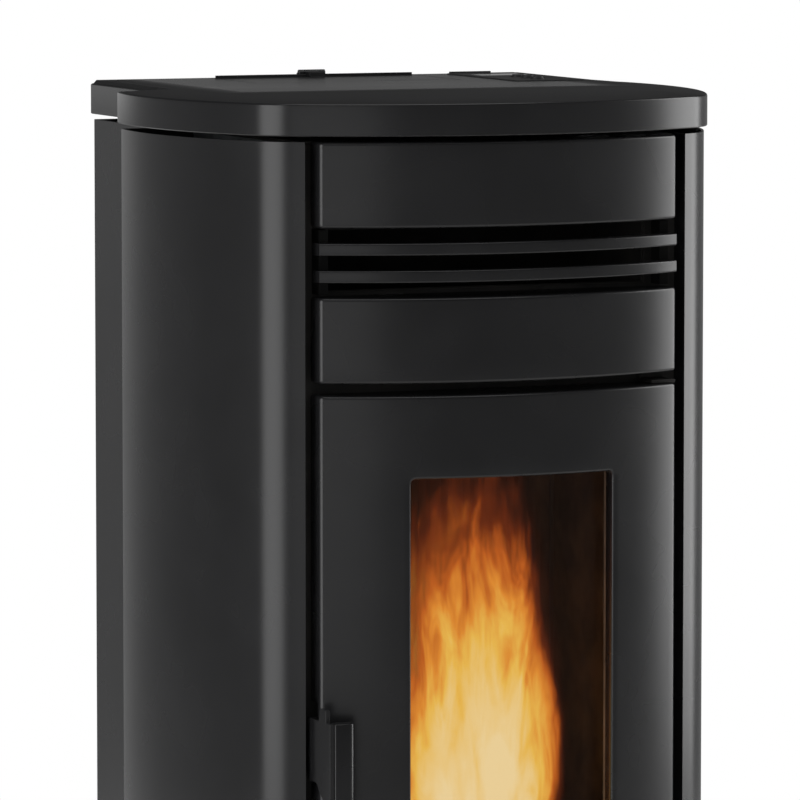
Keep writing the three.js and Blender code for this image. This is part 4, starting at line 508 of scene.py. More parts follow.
def rounded_rectangle(low, high, radii, steps, inset=0):
    """A rectangle with a quarter circle at each corner in turn, moved inward: each point's place and
    its outward direction, two values each."""
    parts = []
    corners = zip(rectangle(low, high), rectangle((1, 1), (-1, -1)), radii)
    for index, (corner, inward, radius) in enumerate(corners):
        angle = np.radians(np.linspace(180, 270, steps + 1) + 90 * index)
        way = np.column_stack((np.cos(angle), np.sin(angle)))
        parts.append(np.column_stack((corner + inward * radius + (radius - inset) * way, way)))
    return np.concatenate(parts)


# ---- materials


def add(owner, kind, inputs=None, **settings):
    """Adds one node to a node tree, given itself or by one of its sockets: settings are the node's own
    properties, inputs its sockets' values, hex colours or links."""
    tree = owner.id_data
    node = tree.nodes.new(kind)
    for key, value in settings.items():
        setattr(node, key, value)
    for key, value in (inputs or {}).items():
        if isinstance(value, bpy.types.NodeSocket):
            tree.links.new(value, node.inputs[key])
        else:
            node.inputs[key].default_value = linear(value) if isinstance(value, str) else value
    return node


def reckon(operation, *values):
    """The result of a mathematical operation on a socket and up to two more values."""
    return add(values[0], "ShaderNodeMath", dict(enumerate(values)), operation=operation).outputs["Value"]


def surface(name, **inputs):
    """A material with a Principled shader and its output, and its object coordinates. The names of the
    shader's inputs have underscores for spaces."""
    material = bpy.data.materials.new(name)
    material.use_nodes = True
    tree = material.node_tree
    tree.nodes.clear()
    place = add(tree, "ShaderNodeTexCoord").outputs["Object"]
    named = {key.replace("_", " "): value for key, value in inputs.items()}
    shader = add(tree, "ShaderNodeBsdfPrincipled", named)
    add(tree, "ShaderNodeOutputMaterial", {"Surface": shader.outputs["BSDF"]})
    return material, place


def wear(material, base=None, gloss=None, relief=None, **others):
    """Gives a material its base colour, its roughness as a pattern with the values at its low and high
    end, its relief as a pattern with the metres of its depth and its strength, and other inputs."""
    tree = material.node_tree
    links = {key.replace("_", " "): value for key, value in others.items()}
    if base:
        links["Base Color"] = base
    if gloss:
        links["Roughness"] = value_range(*gloss)
    if relief:
        bump = add(tree, "ShaderNodeBump", dict(zip(("Height", "Distance", "Strength"), relief)))
        links["Normal"] = bump.outputs["Normal"]
    for key, value in links.items():
        tree.links.new(value, tree.nodes["Principled BSDF"].inputs[key])
    return material


def stops_over(fac, *stops):
    """A ramp over a pattern, from stops that are each a position and a colour, hex colour or grey."""
    ramp = add(fac, "ShaderNodeValToRGB", {"Fac": fac})
    while len(ramp.color_ramp.elements) < len(stops):
        ramp.color_ramp.elements.new(0.5)
    for stop, (position, value) in zip(ramp.color_ramp.elements, stops):
        stop.position = position
        if isinstance(value, str):
            stop.color = linear(value)
        else:
            stop.color = value if isinstance(value, tuple) else (value, value, value, 1.0)
    return ramp.outputs["Color"]


def shades(fac, low, high, start=0.35, end=0.65):
    """A two-colour ramp over a pattern."""
    return stops_over(fac, (start, low), (end, high))


def darker(tone, share):
    """A share of a colour's light."""
    return (*[c * share for c in tone[:3]], 1.0)


def texture(place, kind, size, output="Fac", inputs=None, **settings):
    """A texture over the coordinates, its pattern drawn at a size in their unit."""
    named = {"Vector": place, "Scale": 1 / size, **(inputs or {})}
    return add(place, "ShaderNodeTex" + kind, named, **settings).outputs[output]


def grain(place, size, detail=3.0):
    """Cloudy noise whose features are size metres wide."""
    return texture(place, "Noise", size, inputs={"Detail": detail, "Roughness": 0.6})


def value_range(fac, low, high, start=0.0, end=1.0, **settings):
    """A value that goes from low to high while fac goes from start to end."""
    limits = {"From Min": start, "From Max": end, "To Min": low, "To Max": high}
    return add(fac, "ShaderNodeMapRange", {"Value": fac, **limits}, **settings).outputs["Result"]


def any_ray(tree, *kinds):
    """1 for a light ray of one of the kinds, and 0 for the others."""
    path = add(tree, "ShaderNodeLightPath")
    share = path.outputs[kinds[0]]
    for kind in kinds[1:]:
        share = reckon("MAXIMUM", share, path.outputs[kind])
    return share


def sprayed_paint(name, paint):
    """What both paints share: clouds of 90 mm in the black, and faint orange peel. The peel is about
    1 mm on the real sheet and is drawn at 2 mm so that it shows."""
    material, place = surface(name, IOR=1.45, Specular_IOR_Level=0.36)
    cloud = grain(place, 0.09, detail=2)
    base = shades(cloud, darker(paint, 0.88), darker(paint, 1.12))
    wear(material, base, relief=(grain(place, 0.002), 0.00004, 0.25))
    return material, place, cloud


def satin_stove_paint(paint):
    """High-heat satin paint sprayed on steel: nearly black, with a soft sheen."""
    material, _, cloud = sprayed_paint("satin_stove_paint", paint)
    return wear(material, gloss=(cloud, 0.24, 0.30))


def wiped_cover_paint(paint):
    """The same satin paint on the cover: hands and cloths have smoothed the level field round the lid,
    and the apron between the field and the rim has kept its matt tooth."""
    material, place, _ = sprayed_paint("wiped_cover_paint", paint)
    at = add(place, "ShaderNodeSeparateXYZ", {"Vector": place}).outputs
    aside = reckon("ABSOLUTE", at["X"])
    beside = value_range(aside, 0, 1, *(x * MM for x in FIELD_SIDE))
    before = value_range(at["Y"], 1, 0, *((FRONT_Y + y) * MM for y in FIELD_FRONT))
    rim_top = COVER_TOP - COVER_FALL
    above_rim = value_range(at["Z"], 0, 1, (rim_top - FIELD_RIM) * MM, rim_top * MM)
    apron = reckon("MULTIPLY", reckon("MAXIMUM", beside, before), above_rim)
    return wear(material, gloss=(apron, 0.26, 0.6))


def matt_heat_coat():
    """Matt heat coat on formed steel: darker and duller than the outer paint, with a fine sandy tooth
    of 1.5 mm."""
    material, place = surface("matt_heat_coat", Specular_IOR_Level=0.3)
    tooth = grain(place, 0.0015)
    base = shades(grain(place, 0.03), "#1a1918", "#262422")
    return wear(material, base, (tooth, 0.5, 0.66), (tooth, 0.00006, 0.4))


def flat_black_primer():
    """Thin black primer on the brackets behind the louvre: flat, without gloss, cloudy over 20 mm."""
    material, place = surface("flat_black_primer", Roughness=0.9, Specular_IOR_Level=0.1)
    return wear(material, shades(grain(place, 0.02), "#0a0a0a", "#121211"))


def fired_cast_iron(iron):
    """Sand-cast iron that has been in the fire: brown-black, granular skin of 2.5 mm, soot in clouds."""
    material, place = surface("fired_cast_iron", Metallic=0.2)
    skin = grain(place, 0.0025, detail=4)
    base = shades(grain(place, 0.035), darker(iron, 0.55), darker(iron, 1.25))
    return wear(material, base, (skin, 0.62, 0.85), (skin, 0.00025, 0.6))


def galvanised_sheet():
    """Hot-dip galvanised steel: pale grey metal whose spangle crystals are about 12 mm across."""
    material, place = surface("galvanised_sheet", Metallic=0.85)
    crystal = texture(place, "Voronoi", 0.012, "Color")
    tone = add(crystal, "ShaderNodeSeparateColor", {"Color": crystal}).outputs["Red"]
    base = shades(tone, "#84878a", "#a4a7a9", 0, 1)
    return wear(material, base, (tone, 0.34, 0.5), (grain(place, 0.004), 0.00003, 0.3))


def turned_steel():
    """Bright turned steel of pins and screws: fine rings 0.6 mm apart give a brushed highlight. The
    wave pattern has 3.18 rings to each unit of its scale."""
    material, place = surface("turned_steel", Metallic=1.0, Base_Color="#a8a9aa")
    rings = texture(place, "Wave", 0.0006 * 3.14, inputs={"Distortion": 0.4}, bands_direction="Z")
    return wear(material, gloss=(rings, 0.24, 0.36), relief=(rings, 0.00002, 0.3))


def fibre_rope(rope, strand):
    """Braided glass-fibre rope: matt grey strands crossing at 45 degrees along its own UV map."""
    material, place = surface("fibre_rope", Roughness=0.95, Specular_IOR_Level=0.15)
    uv, waves = place.node.outputs["UV"], []
    for turn in (45, -45):
        turned = add(uv, "ShaderNodeMapping", {
            "Vector": uv, "Rotation": (0, 0, math.radians(turn)), "Scale": (1 / strand,) * 3})
        waves.append(texture(turned.outputs["Vector"], "Wave", 1 / 0.31))
    braid = reckon("MAXIMUM", *waves)
    base = shades(braid, darker(rope, 0.4), rope, 0.2, 0.9)
    return wear(material, base, relief=(braid, 0.0006, 0.8))


def ceramic_glass():
    """Clear glass-ceramic, 4 mm thick: the fire shows straight through it, with a thin brown haze of
    soot in clouds of 60 mm and a glossy face."""
    material, place = surface("ceramic_glass", IOR=1.5, Alpha=GLASS_COVER)
    haze = grain(place, 0.06)
    return wear(material, shades(haze, "#120d0a", "#241a12"), (haze, 0.02, 0.07))


def vermiculite_board(board):
    """Pressed vermiculite: sandy board with golden flakes of 3 mm, quite matt."""
    material, place = surface("vermiculite_board", Roughness=0.9)
    flake = texture(place, "Voronoi", 0.003, "Distance")
    base = shades(flake, darker(board, 0.5), board, 0.1, 0.6)
    return wear(material, base, relief=(flake, 0.0004, 0.5))


def moulded_black_plastic():
    """Injection-moulded ABS with a spark-eroded grain of 1.2 mm: black, half matt."""
    material, place = surface("moulded_black_plastic", IOR=1.5)
    spark = grain(place, 0.0012)
    base = shades(spark, "#121213", "#19191a")
    return wear(material, base, (spark, 0.42, 0.56), (spark, 0.00004, 0.4))


def smoked_acrylic():
    """Smoked acrylic of the display: glossy and almost black, fine wipe marks in its gloss."""
    material, place = surface("smoked_acrylic", IOR=1.49, Base_Color="#08090b")
    return wear(material, gloss=(grain(place, 0.015), 0.05, 0.12))


def circuit_laminate():
    """Green glass-epoxy board: tracks 2.5 mm apart show as lighter lines under the solder mask."""
    material, place = surface("circuit_laminate", IOR=1.5, Roughness=0.4)
    track = texture(place, "Brick", 0.01, "Color", {
        "Color1": "#11482b", "Color2": "#155233", "Mortar": "#3a7d50", "Mortar Size": 0.03})
    return wear(material, track)


def burning_gas(heart):
    """Pellet flame: pale heart, yellow and orange body, red tips that thin into a brown glow. Its UV map
    runs round the flame in U and from the heart (0) to cold gas (1) in V. Licks are 30 mm wide and four
    times as high, with finer threads of 10 mm in them, and the gas thins to a tenth at its two sides."""
    material, place = surface(
        "burning_gas", Base_Color="#000000", Roughness=1.0, Specular_IOR_Level=0.0,
        Emission_Strength=FLAME_POWER)
    uv = place.node.outputs["UV"]
    parts = add(uv, "ShaderNodeSeparateXYZ", {"Vector": uv}).outputs
    cool = parts["Y"]
    for per_metre, bend, share in ((33, 1.6, 0.5), (100, 0.8, 0.16)):
        scale = (per_metre, per_metre, per_metre / 4)
        tall = add(place, "ShaderNodeMapping", {"Vector": place, "Scale": scale}).outputs["Vector"]
        noise = texture(tall, "Noise", 1.0, inputs={"Detail": 3.0, "Distortion": bend})
        lick = reckon("SUBTRACT", noise, 0.5)
        cool = reckon("MULTIPLY_ADD", lick, share, cool)
    glow = stops_over(cool, (0.0, heart), (0.13, "#f0ca80"), (0.24, "#eebb52"), (0.35, "#e28d33"),
                      (0.45, "#bd5e1f"), (0.56, "#702d10"), (0.67, "#3a180c"), (0.8, "#1e0d08"))
    fade = stops_over(cool, (0.0, 0.97), (0.3, 0.95), (0.44, 0.8), (0.54, 0.5), (0.65, 0.28),
                      (0.8, 0.12), (0.95, 0.0))
    side = reckon("COSINE", reckon("MULTIPLY", parts["X"], 4 * math.pi))
    across = value_range(side, 0.0, 1.0, 1.0, 0.1, interpolation_type="SMOOTHSTEP")
    return wear(material, Emission_Color=glow, Alpha=reckon("MULTIPLY", across, fade))


def finishes(colours):
    """Every finish of the stove, by name."""
    return {
        "paint": satin_stove_paint(tuple(colours.paint)),
        "cover_paint": wiped_cover_paint(tuple(colours.paint)),
        "heat_coat": matt_heat_coat(),
        "primer": flat_black_primer(),
        "iron": fired_cast_iron(tuple(colours.cast_iron)),
        "zinc": galvanised_sheet(),
        "steel": turned_steel(),
        "rope": fibre_rope(tuple(colours.rope), bpy.context.scene.stove_sizes.rope_strand),
        "glass": ceramic_glass(),
        "board": vermiculite_board(tuple(colours.board)),
        "plastic": moulded_black_plastic(),
        "display": smoked_acrylic(),
        "laminate": circuit_laminate(),
        "flame": burning_gas(tuple(colours.flame)),
    }


MATERIALS = {}


# ---- shells


def cover_shape(rim_radius):
    """The cover: outlines of the plan at growing insets, stacked from the underside round the rim to
    the flat middle, whose two faces are triangulated round the openings for lid and controls."""
    top, wall = COVER_TOP, COVER_WALL
    rim_top, rim_bottom = top - COVER_FALL, reach("top_cover")[0][2]
    turn = np.radians(np.linspace(0, 90, 6))
    profile = [(COVER_BAND + wall, 2 * wall, top - wall), (wall, wall, rim_top - wall),
               (wall, wall, rim_bottom), (RIM_EDGE, RIM_EDGE, rim_bottom), (0, 0, rim_bottom + RIM_EDGE)]
    insets = rim_radius * (1 - np.cos(turn))
    profile += [(d, d, z) for d, z in zip(insets, rim_top - rim_radius * (1 - np.sin(turn)))]
    profile += [(COVER_BAND, wall, top)]
    rows = np.stack([upright(whole_outline(a, b), [z])[0] for a, b, z in profile])
    shape = Shape().add(rows, grid_faces(len(rows), rows.shape[1], closed=True))
    lid, panel = reach("hopper_lid"), reach("control_panel")
    holes = [rectangle(low[:2], (high[0], rear), -gap) for (low, high), rear, gap in (
        (lid, LID_REAR, LID_GAP), (panel, panel[1][1], PANEL_GAP))]
    for loop, z in ((rows[0], top - wall), (rows[-1], top)):
        rings = [loop[:, :2], *holes]
        faces = tessellate_polygon([[Vector((x, y, 0)) for x, y in ring] for ring in rings])
        shape.add(upright(np.concatenate(rings), [z]), faces)
    for hole in holes:
        shape.add(upright(hole, (top - wall, top)), grid_faces(2, len(hole), closed=True))
    return shape


def pan_path(half_width, back, fold, splits):
    """Plan path of a folded pan, left to right: side return, fold, curved front, fold, side return.
    Gives its points and their outward directions; splits are X values that a point falls on."""
    radius = FRONT_RADIUS - PANEL_INSET
    turn = math.degrees(math.asin((half_width - fold) / (radius - fold)))
    edge = radius * math.sin(math.radians(turn))
    x = evenly([0, *splits, edge], FRONT_STEP)
    depth = np.sqrt(radius**2 - x**2)
    front = np.column_stack((x, FRONT_RADIUS - depth))
    centre = (half_width - fold, FRONT_RADIUS - math.sqrt((radius - fold) ** 2 - (half_width - fold) ** 2))
    bend = arc(centre, fold, turn, 90, 12)[1:]
    along = np.array(sorted({*np.linspace(centre[1], back, 5)[1:], NOTCH_FRONT}))
    side = np.column_stack((np.full(len(along), half_width), along))
    path = np.concatenate((front, bend, side))
    way = np.concatenate((np.column_stack((x, -depth)) / radius, (bend - centre) / fold,
                          np.tile((1.0, 0.0), (len(along), 1))))
    mirror = (-1, 1)
    return np.concatenate((path[:0:-1] * mirror, path)), np.concatenate((way[:0:-1] * mirror, way))


def pan_shape(node, fold, window=None, notch=None):
    """A pan pressed from sheet: the plan path is carried up the panel and rounded inward at the top and
    bottom, where a flat return closes it. A window gets a collar, its loop carried round a fold and
    back; a notch leaves out part of the left return."""
    low, high = reach(node)
    half_width, z0, z1 = high[0], low[2], high[2]
    splits, stops = [], [z0 + fold, z1 - fold, *(notch or ())]
    if window:
        x, bottom, top = window
        corner = WINDOW_CORNER * np.linspace(-1, 0, 5)
        splits = [*(x + corner)]
        stops += [*(bottom - corner), *(top + corner)]
    path, way = pan_path(half_width, PAN_BACK, SIDE_FOLD, splits)
    bend = np.radians(np.linspace(-90, 0, 7))[:-1]
    rise, inset = fold * (1 + np.sin(bend)), fold * (1 - np.cos(bend))
    straight = evenly(sorted(stops), GRID_STEP)
    heights = np.concatenate((z0 + rise, straight, z1 - rise[::-1]))
    insets = np.concatenate((inset, np.zeros(len(straight)), inset[::-1]))
    points = lifted(path[None] - way[None] * insets[:, None, None], heights)
    middle = (points[1:, 1:] + points[:-1, :-1]) / 2
    keep = np.ones(middle.shape[:2], bool)
    if window:
        keep &= ~within(middle, (-x, -np.inf, bottom), (x, NOTCH_FRONT, top))
    if notch:
        keep &= ~within(middle, (-np.inf, NOTCH_FRONT, notch[0]), (1 - half_width, np.inf, notch[1]))
    shape = Shape().add(points, grid_faces(*points.shape[:2], keep=keep))
    half = len(path) // 2 + 1
    share = np.linspace(0, 1, RETURN_COLUMNS)[None, :, None]
    for edge in (points[0], points[-1]):
        left, right = edge[:half, None], edge[::-1][:half, None]
        shape.add(left + (right - left) * share, grid_faces(half, RETURN_COLUMNS))
    if window:
        columns = np.flatnonzero((np.abs(path[:, 0]) <= x + CLOSE) & (path[:, 1] < NOTCH_FRONT))
        rows = np.flatnonzero((heights >= bottom - CLOSE) & (heights <= top + CLOSE))
        block = points[np.ix_(rows, columns)]
        loop = np.concatenate((block[0], block[1:, -1], block[-1, :-1][::-1], block[1:-1, 0][::-1]))
        collar = window_collar(loop, (bottom + top) / 2)
        shape.add(collar, grid_faces(len(collar), len(loop), closed=True))
    return shape


def window_collar(loop, middle):
    """The folded collar of a window, ring by ring, from the loop round a rectangular hole. The first
    step moves each point onto a rectangle with rounded corners: a point nearer a corner than its
    radius slides onto the quarter circle. The next steps turn inward round the fold, and the last goes
    straight back to the door frame."""
    half = np.array((loop[:, 0].max(), loop[:, 2].max() - middle))
    flat = loop[:, ::2] - (0, middle)
    past = np.abs(flat) - (half - WINDOW_CORNER)
    bend = (past > 0).all(axis=1)
    share = past / WINDOW_CORNER / 2
    turn = np.where(past[:, 1] >= past[:, 0], 1 - share[:, 0], share[:, 1])
    angle = np.pi / 2 * np.clip(turn, 0, 1)
    round_way = np.column_stack((np.cos(angle), np.sin(angle)))
    way = np.where(bend[:, None], round_way, past >= WINDOW_CORNER - CLOSE) * np.sign(flat)
    spot = np.where(bend[:, None], np.sign(flat) * (half - WINDOW_CORNER) + WINDOW_CORNER * way, flat)
    rings = [loop]
    for angle in np.radians(np.linspace(0, 90, 6)):
        at = spot - way * WINDOW_FOLD * math.sin(angle)
        front = FRONT_RADIUS - np.sqrt((FRONT_RADIUS - PANEL_INSET) ** 2 - spot[:, 0] ** 2)
        depth = front + WINDOW_FOLD * (1 - math.cos(angle))
        rings.append(np.column_stack((at[:, 0], depth, at[:, 1] + middle)))
    deep = rings[-1].copy()
    deep[:, 1] = FRAME_FACE - SEAM
    return np.stack((*rings, deep))


def side_panel_shape(side):
    """A bowed side sheet: its plan section, an outer and an inner line joined at both ends, carried
    straight up. The outer line folds back at the front flange and turns in at the rear."""
    low, high = reach("right_side_panel")
    rear = SIDE_REAR - PANEL_INSET
    lines = []
    for inset in (0.0, SHEET):
        start = math.degrees(math.asin((SIDE_FLANGE + inset) / (FRONT_RADIUS - PANEL_INSET - inset)))
        curve = bowed_side(PANEL_INSET + inset, start)
        end = CASING_HALF_WIDTH - PANEL_INSET + SEAM
        line = np.concatenate(([(SIDE_FLANGE + inset, FLANGE_BACK)], curve, [(end, rear - inset)]))
        lines.append(rounded(line, [1, len(curve)], SIDE_END_ROUND - inset))
    outer, inner = lines
    section = np.concatenate((outer, inner[::-1])) * (side, 1)
    heights = np.linspace(low[2], high[2], 9)
    shape = Shape().add(upright(section, heights), grid_faces(9, len(section), closed=True))
    for z in (low[2], high[2]):
        shape.add(lifted(np.stack((outer, inner)) * (side, 1), (z, z)), grid_faces(2, len(outer)))
    return shape


def slat_rows(z0, z1, half_width):
    """A louvre slat: a rounded rectangle in depth and height, carried along the front arc from side to
    side, each point keeping its depth behind the arc."""
    section = rounded_rectangle((0, z0), (SLAT_DEPTH, z1), [SLAT_ROUND] * 4, 4)
    x = np.linspace(-half_width, half_width, SLAT_STEPS + 1)[:, None]
    y = FRONT_RADIUS - np.sqrt((FRONT_RADIUS - PANEL_INSET - section[:, 0]) ** 2 - x**2)
    return np.stack(np.broadcast_arrays(x, y, section[:, 1]), axis=-1)


def bar_shape(low, high):
    """The grip: a rounded rectangle in plan, its front corner by the window rounder, carried up between
    two ends whose last millimetres draw in."""
    draw = np.array(GRIP_END)
    rows = [rounded_rectangle(low[:2], high[:2], GRIP_ROUND, 6, inset)[:, :2]
            for inset in (*draw, *draw[::-1])]
    return Shape().tube(lifted(np.stack(rows), (*(low[2] + draw[::-1]), *(high[2] - draw))))


def rope_shape(node, radius):
    """A seal of round rope: a circle carried round a rectangle with rounded corners, flattened a little
    where the door presses it. Gives the shape and its UVs, metres along and round the rope."""
    low, high = reach(node)
    inset = radius * ROPE_SPREAD
    x0, x1, z0, z1 = low[0] + inset, high[0] - inset, low[2] + inset, high[2] - inset
    line = rounded_rectangle((x0, z0), (x1, z1), [ROPE_CORNER] * 4, 8)
    line = np.roll(line, len(line) // 2, axis=0)
    dense = []
    for a, b in zip(line, np.roll(line, -1, axis=0)):
        steps = max(1, int(np.linalg.norm(b[:2] - a[:2]) / GRID_STEP))
        dense.append(a + (b - a) * np.linspace(0, 1, steps, endpoint=False)[:, None])
    line = np.concatenate(dense)
    line = np.concatenate((line, line[:1]))
    around = np.linspace(0, 2 * np.pi, 17)
    out = radius * ROPE_SPREAD * np.cos(around)
    y = (low[1] + high[1]) / 2 + (high[1] - low[1]) / 2 * np.sin(around)
    x, z = (line[:, None, axis] + line[:, None, axis + 2] * out for axis in (0, 1))
    points = np.stack(np.broadcast_arrays(x, y, z), axis=-1)
    length = np.concatenate(([0], np.cumsum(np.linalg.norm(np.diff(line[:, :2], axis=0), axis=1))))
    uv = np.stack(np.broadcast_arrays(length[:, None] * MM, around[None] * radius * MM), axis=-1)
    return points, uv


def flame_body(foot, top, width, phase, rows=48, sides=48):
    """One body of burning gas: flat ellipses stacked up a swaying line from its foot to its top. The half
    width swells a fifth over the lowest stretch and falls as the root of 1 less the height's 3.4th power.
    Its V counts how cold the gas is: the height above the pot to the power 1.3, plus half the cube of the
    distance from the flame's middle line."""
    s = np.linspace(0, 1, rows)
    swell = np.sin(np.pi / 2 * np.clip(s / FLAME_SWELL, 0, 1))
    half = width * np.sqrt(1 - s**3.4) * (0.8 + 0.2 * swell)
    half[-1] = 0
    cx = foot[0] + FLAME_SWAY * np.sin(5 * s + phase) * s
    around = np.linspace(0, 2 * np.pi, sides + 1)
    x = cx[:, None] - half[:, None] * np.cos(around)
    y = foot[1] - half[:, None] * FLAME_FLATNESS * np.sin(around)
    z = (foot[2] + (top - foot[2]) * s)[:, None] * np.ones(sides + 1)
    height = np.clip((z - reach("burner_pot")[1][2]) / FLAME_REACH, 0, None)
    cold = height**1.3 + 0.5 * np.abs((x - FLAME_MIDDLE[0]) / FLAME_HALF_WIDTH) ** 3
    v = np.clip(cold / FLAME_COLDEST, 0, 0.99)
    uv = np.stack((np.broadcast_to(around / (2 * np.pi), z.shape), v), axis=-1)
    return np.stack((x, y, z), axis=-1), uv


def wrapped_mesh(name, parts):
    """Grids with UVs as one mesh. The seam column is merged in the mesh, and the UVs stay per corner."""
    shape, corner_uv = Shape(), []
    for points, uv in parts:
        faces = grid_faces(*points.shape[:2])
        shape.add(points, faces)
        corner_uv.append(uv.reshape(-1, 2)[faces.reshape(-1)])
    mesh = bpy.data.meshes.new(name)
    mesh.from_pydata(put_in_frame(np.concatenate(shape.points)).tolist(), [], shape.faces)
    layer = mesh.uv_layers.new(name="Along")
    layer.data.foreach_set("uv", np.concatenate(corner_uv).ravel())
    bm = bmesh.new()
    bm.from_mesh(mesh)
    bmesh.ops.remove_doubles(bm, verts=bm.verts, dist=MERGE)
    bmesh.ops.holes_fill(bm, edges=bm.edges)
    bmesh.ops.recalc_face_normals(bm, faces=bm.faces)
    bm.to_mesh(mesh)
    bm.free()
    return smoothed(mesh)


# ---- operators


class STOVE_OT_cover(Operator):
    """Makes the top cover with its turned-down rim, and the two lugs of the lid hinge"""

    bl_idname = "stove.cover"
    bl_label = "Cover"

    def execute(self, context):
        shape = cover_shape(context.scene.stove_sizes.rim_radius / MM)
        _, y, z = sum(reach("lid_hinge_pin")) / 2
        for a, b in both_sides(LID_LUG):
            foot = (a, LID_REAR + LID_GAP, COVER_TOP - LID_LUG_ROOT)
            shape.block(foot, (b, LID_REAR + LID_LUG_LENGTH, z))
            shape.rod((a, y, z), (b, y, z), LID_LUG_RADIUS)
        make_piece("cover_plate", shape, "top_cover", "cover_paint", sharp=20)
        return {"FINISHED"}


class STOVE_OT_lips(Operator):
    """Makes the upright lip along the lid's rear edge and the one behind the controls"""

    bl_idname = "stove.lips"
    bl_label = "Lips"

    def execute(self, context):
        for node, (x0, x1), rear, finish in (
            ("hopper_lid", LID_LIP, LID_REAR - LID_LIP_SETBACK, "paint"),
            ("control_panel", PANEL_LIP, reach("control_panel")[1][1], "plastic"),
        ):
            foot = (x0, rear - LIP_THICKNESS, COVER_TOP - LIP_ROOT)
            lip = Shape().block(foot, (x1, rear, COVER_TOP + LIP_RISE))
            make_piece(node + "_lip", lip, node, finish, replaces=False, edge=SHEET_EDGE)
        return {"FINISHED"}


class STOVE_OT_side_panels(Operator):
    """Makes the two bowed side panels"""

    bl_idname = "stove.side_panels"
    bl_label = "Side panels"

    def execute(self, context):
        for side, node in ((-1, "left_side_panel"), (1, "right_side_panel")):
            make_piece(node + "_sheet", side_panel_shape(side), node, "paint", edge=SHEET_EDGE)
        return {"FINISHED"}


class STOVE_OT_front_panels(Operator):
    """Makes the folded front panels above the door and the drawer's front"""

    bl_idname = "stove.front_panels"
    bl_label = "Front panels"

    def execute(self, context):
        fold = context.scene.stove_sizes.fold_radius / MM
        for node in ("upper_front_panel", "middle_front_panel", "ash_drawer_front"):
            shape = pan_shape(node, fold)
            if node != "ash_drawer_front":
                (_, _, z0), (_, back, z1) = reach(node)
                for a, b in both_sides(PAN_LUG_X):
                    shape.block((a, PAN_LUG_FRONT, z0 + PAN_LUG_MARGIN), (b, back, z1 - PAN_LUG_MARGIN))
            make_piece(node + "_pan", shape, node, "paint", thick=SHEET)
        return {"FINISHED"}


class STOVE_OT_louvre(Operator):
    """Makes the two curved slats of the warm-air outlet on their brackets"""

    bl_idname = "stove.louvre"
    bl_label = "Louvre"

    def execute(self, context):
        (_, _, z0), (half_width, back, z1) = reach("louvre")
        upper = reach("upper_front_panel")[0][2]
        slats, brackets = Shape(), Shape()
        for count in (1, 2):
            top = upper - count * LOUVRE_SLOT - (count - 1) * SLAT_HEIGHT
            slats.tube(slat_rows(top - SLAT_HEIGHT, top, half_width))
        make_piece("louvre_slats", slats, "louvre", "paint")
        for a, b in both_sides(BRACKET_X):
            brackets.block((a, BRACKET_FRONT, z0 + BRACKET_MARGIN), (b, back, z1 - BRACKET_MARGIN))
        make_piece("louvre_brackets", brackets, "louvre", "primer", replaces=False)
        return {"FINISHED"}


class STOVE_OT_door(Operator):
    """Makes the door's pressed skin with its window collar, and its rope seal"""

    bl_idname = "stove.door"
    bl_label = "Door"

    def execute(self, context):
        (_, _, z0), (half_width, _, z1) = reach("door_glass")
        edge = GLASS_EDGE - WINDOW_FOLD
        window = (half_width - edge, z0 + edge, z1 - edge)
        notch_top = reach("door_skin")[1][2] - NOTCH_DROP
        notch = (notch_top - NOTCH_HEIGHT, notch_top)
        shape = pan_shape("door_skin", context.scene.stove_sizes.fold_radius / MM, window, notch)
        make_piece("door_pan", shape, "door_skin", "paint", thick=SHEET)
        mesh = wrapped_mesh("door_rope", [rope_shape("door_seal", ROPE_RADIUS)])
        finish_piece("door_rope", mesh, home("door_seal"), "rope", ("door_seal",))
        return {"FINISHED"}


class STOVE_OT_handle(Operator):
    """Makes the rounded grip of the door handle"""

    bl_idname = "stove.handle"
    bl_label = "Handle"

    def execute(self, context):
        make_piece("handle_grip", bar_shape(*reach("handle_bar")), "handle_bar", "paint", sharp=50)
        return {"FINISHED"}


# The finish of each CAD node that keeps its own shape, and the nodes whose edges stay as they are.
FINISH_OF = {
    "paint": "hopper_lid rear_casing chassis_base handle_lever",
    "heat_coat": "chassis_front_plate top_frame air_duct glass_retainer hinge_bracket_lower "
                 "hinge_bracket_upper latch_keeper feed_tube smoke_duct flue_spigot levelling_foot_1 "
                 "levelling_foot_2 levelling_foot_3 levelling_foot_4",
    "iron": "door_frame firebox firebox_back_plate burner_support burner_pot",
    "zinc": "chassis_left_side chassis_right_side ash_pan hopper hopper_grid gearmotor room_fan_housing "
            "room_fan_rotor smoke_fan_housing smoke_fan_rotor air_intake",
    "steel": "lid_hinge_pin handle_pin feed_screw igniter",
    "rope": "lid_seal glass_seal",
    "glass": "door_glass",
    "board": "baffle",
    "plastic": "control_panel control_button_1 control_button_2 control_button_3 mains_inlet rocker_switch",
    "display": "display_window",
    "laminate": "control_board",
}
LEFT_AS_CUT = {"glass_seal", "feed_screw", "burner_pot", "room_fan_rotor", "smoke_fan_rotor", "door_glass"}


class STOVE_OT_castings(Operator):
    """Rounds the edges of the machined, cast and folded inner parts, and gives each its finish"""

    bl_idname = "stove.castings"
    bl_label = "Castings and inner parts"

    def execute(self, context):
        edge = context.scene.stove_sizes.casting_edge / MM
        for finish, nodes in FINISH_OF.items():
            for node in nodes.split():
                source = frame["nodes"][node]
                if source.hide_render:
                    continue
                if node in LEFT_AS_CUT:
                    source.material_slots[0].material = MATERIALS[finish]
                else:
                    dressed(node, finish, edge)
        return {"FINISHED"}


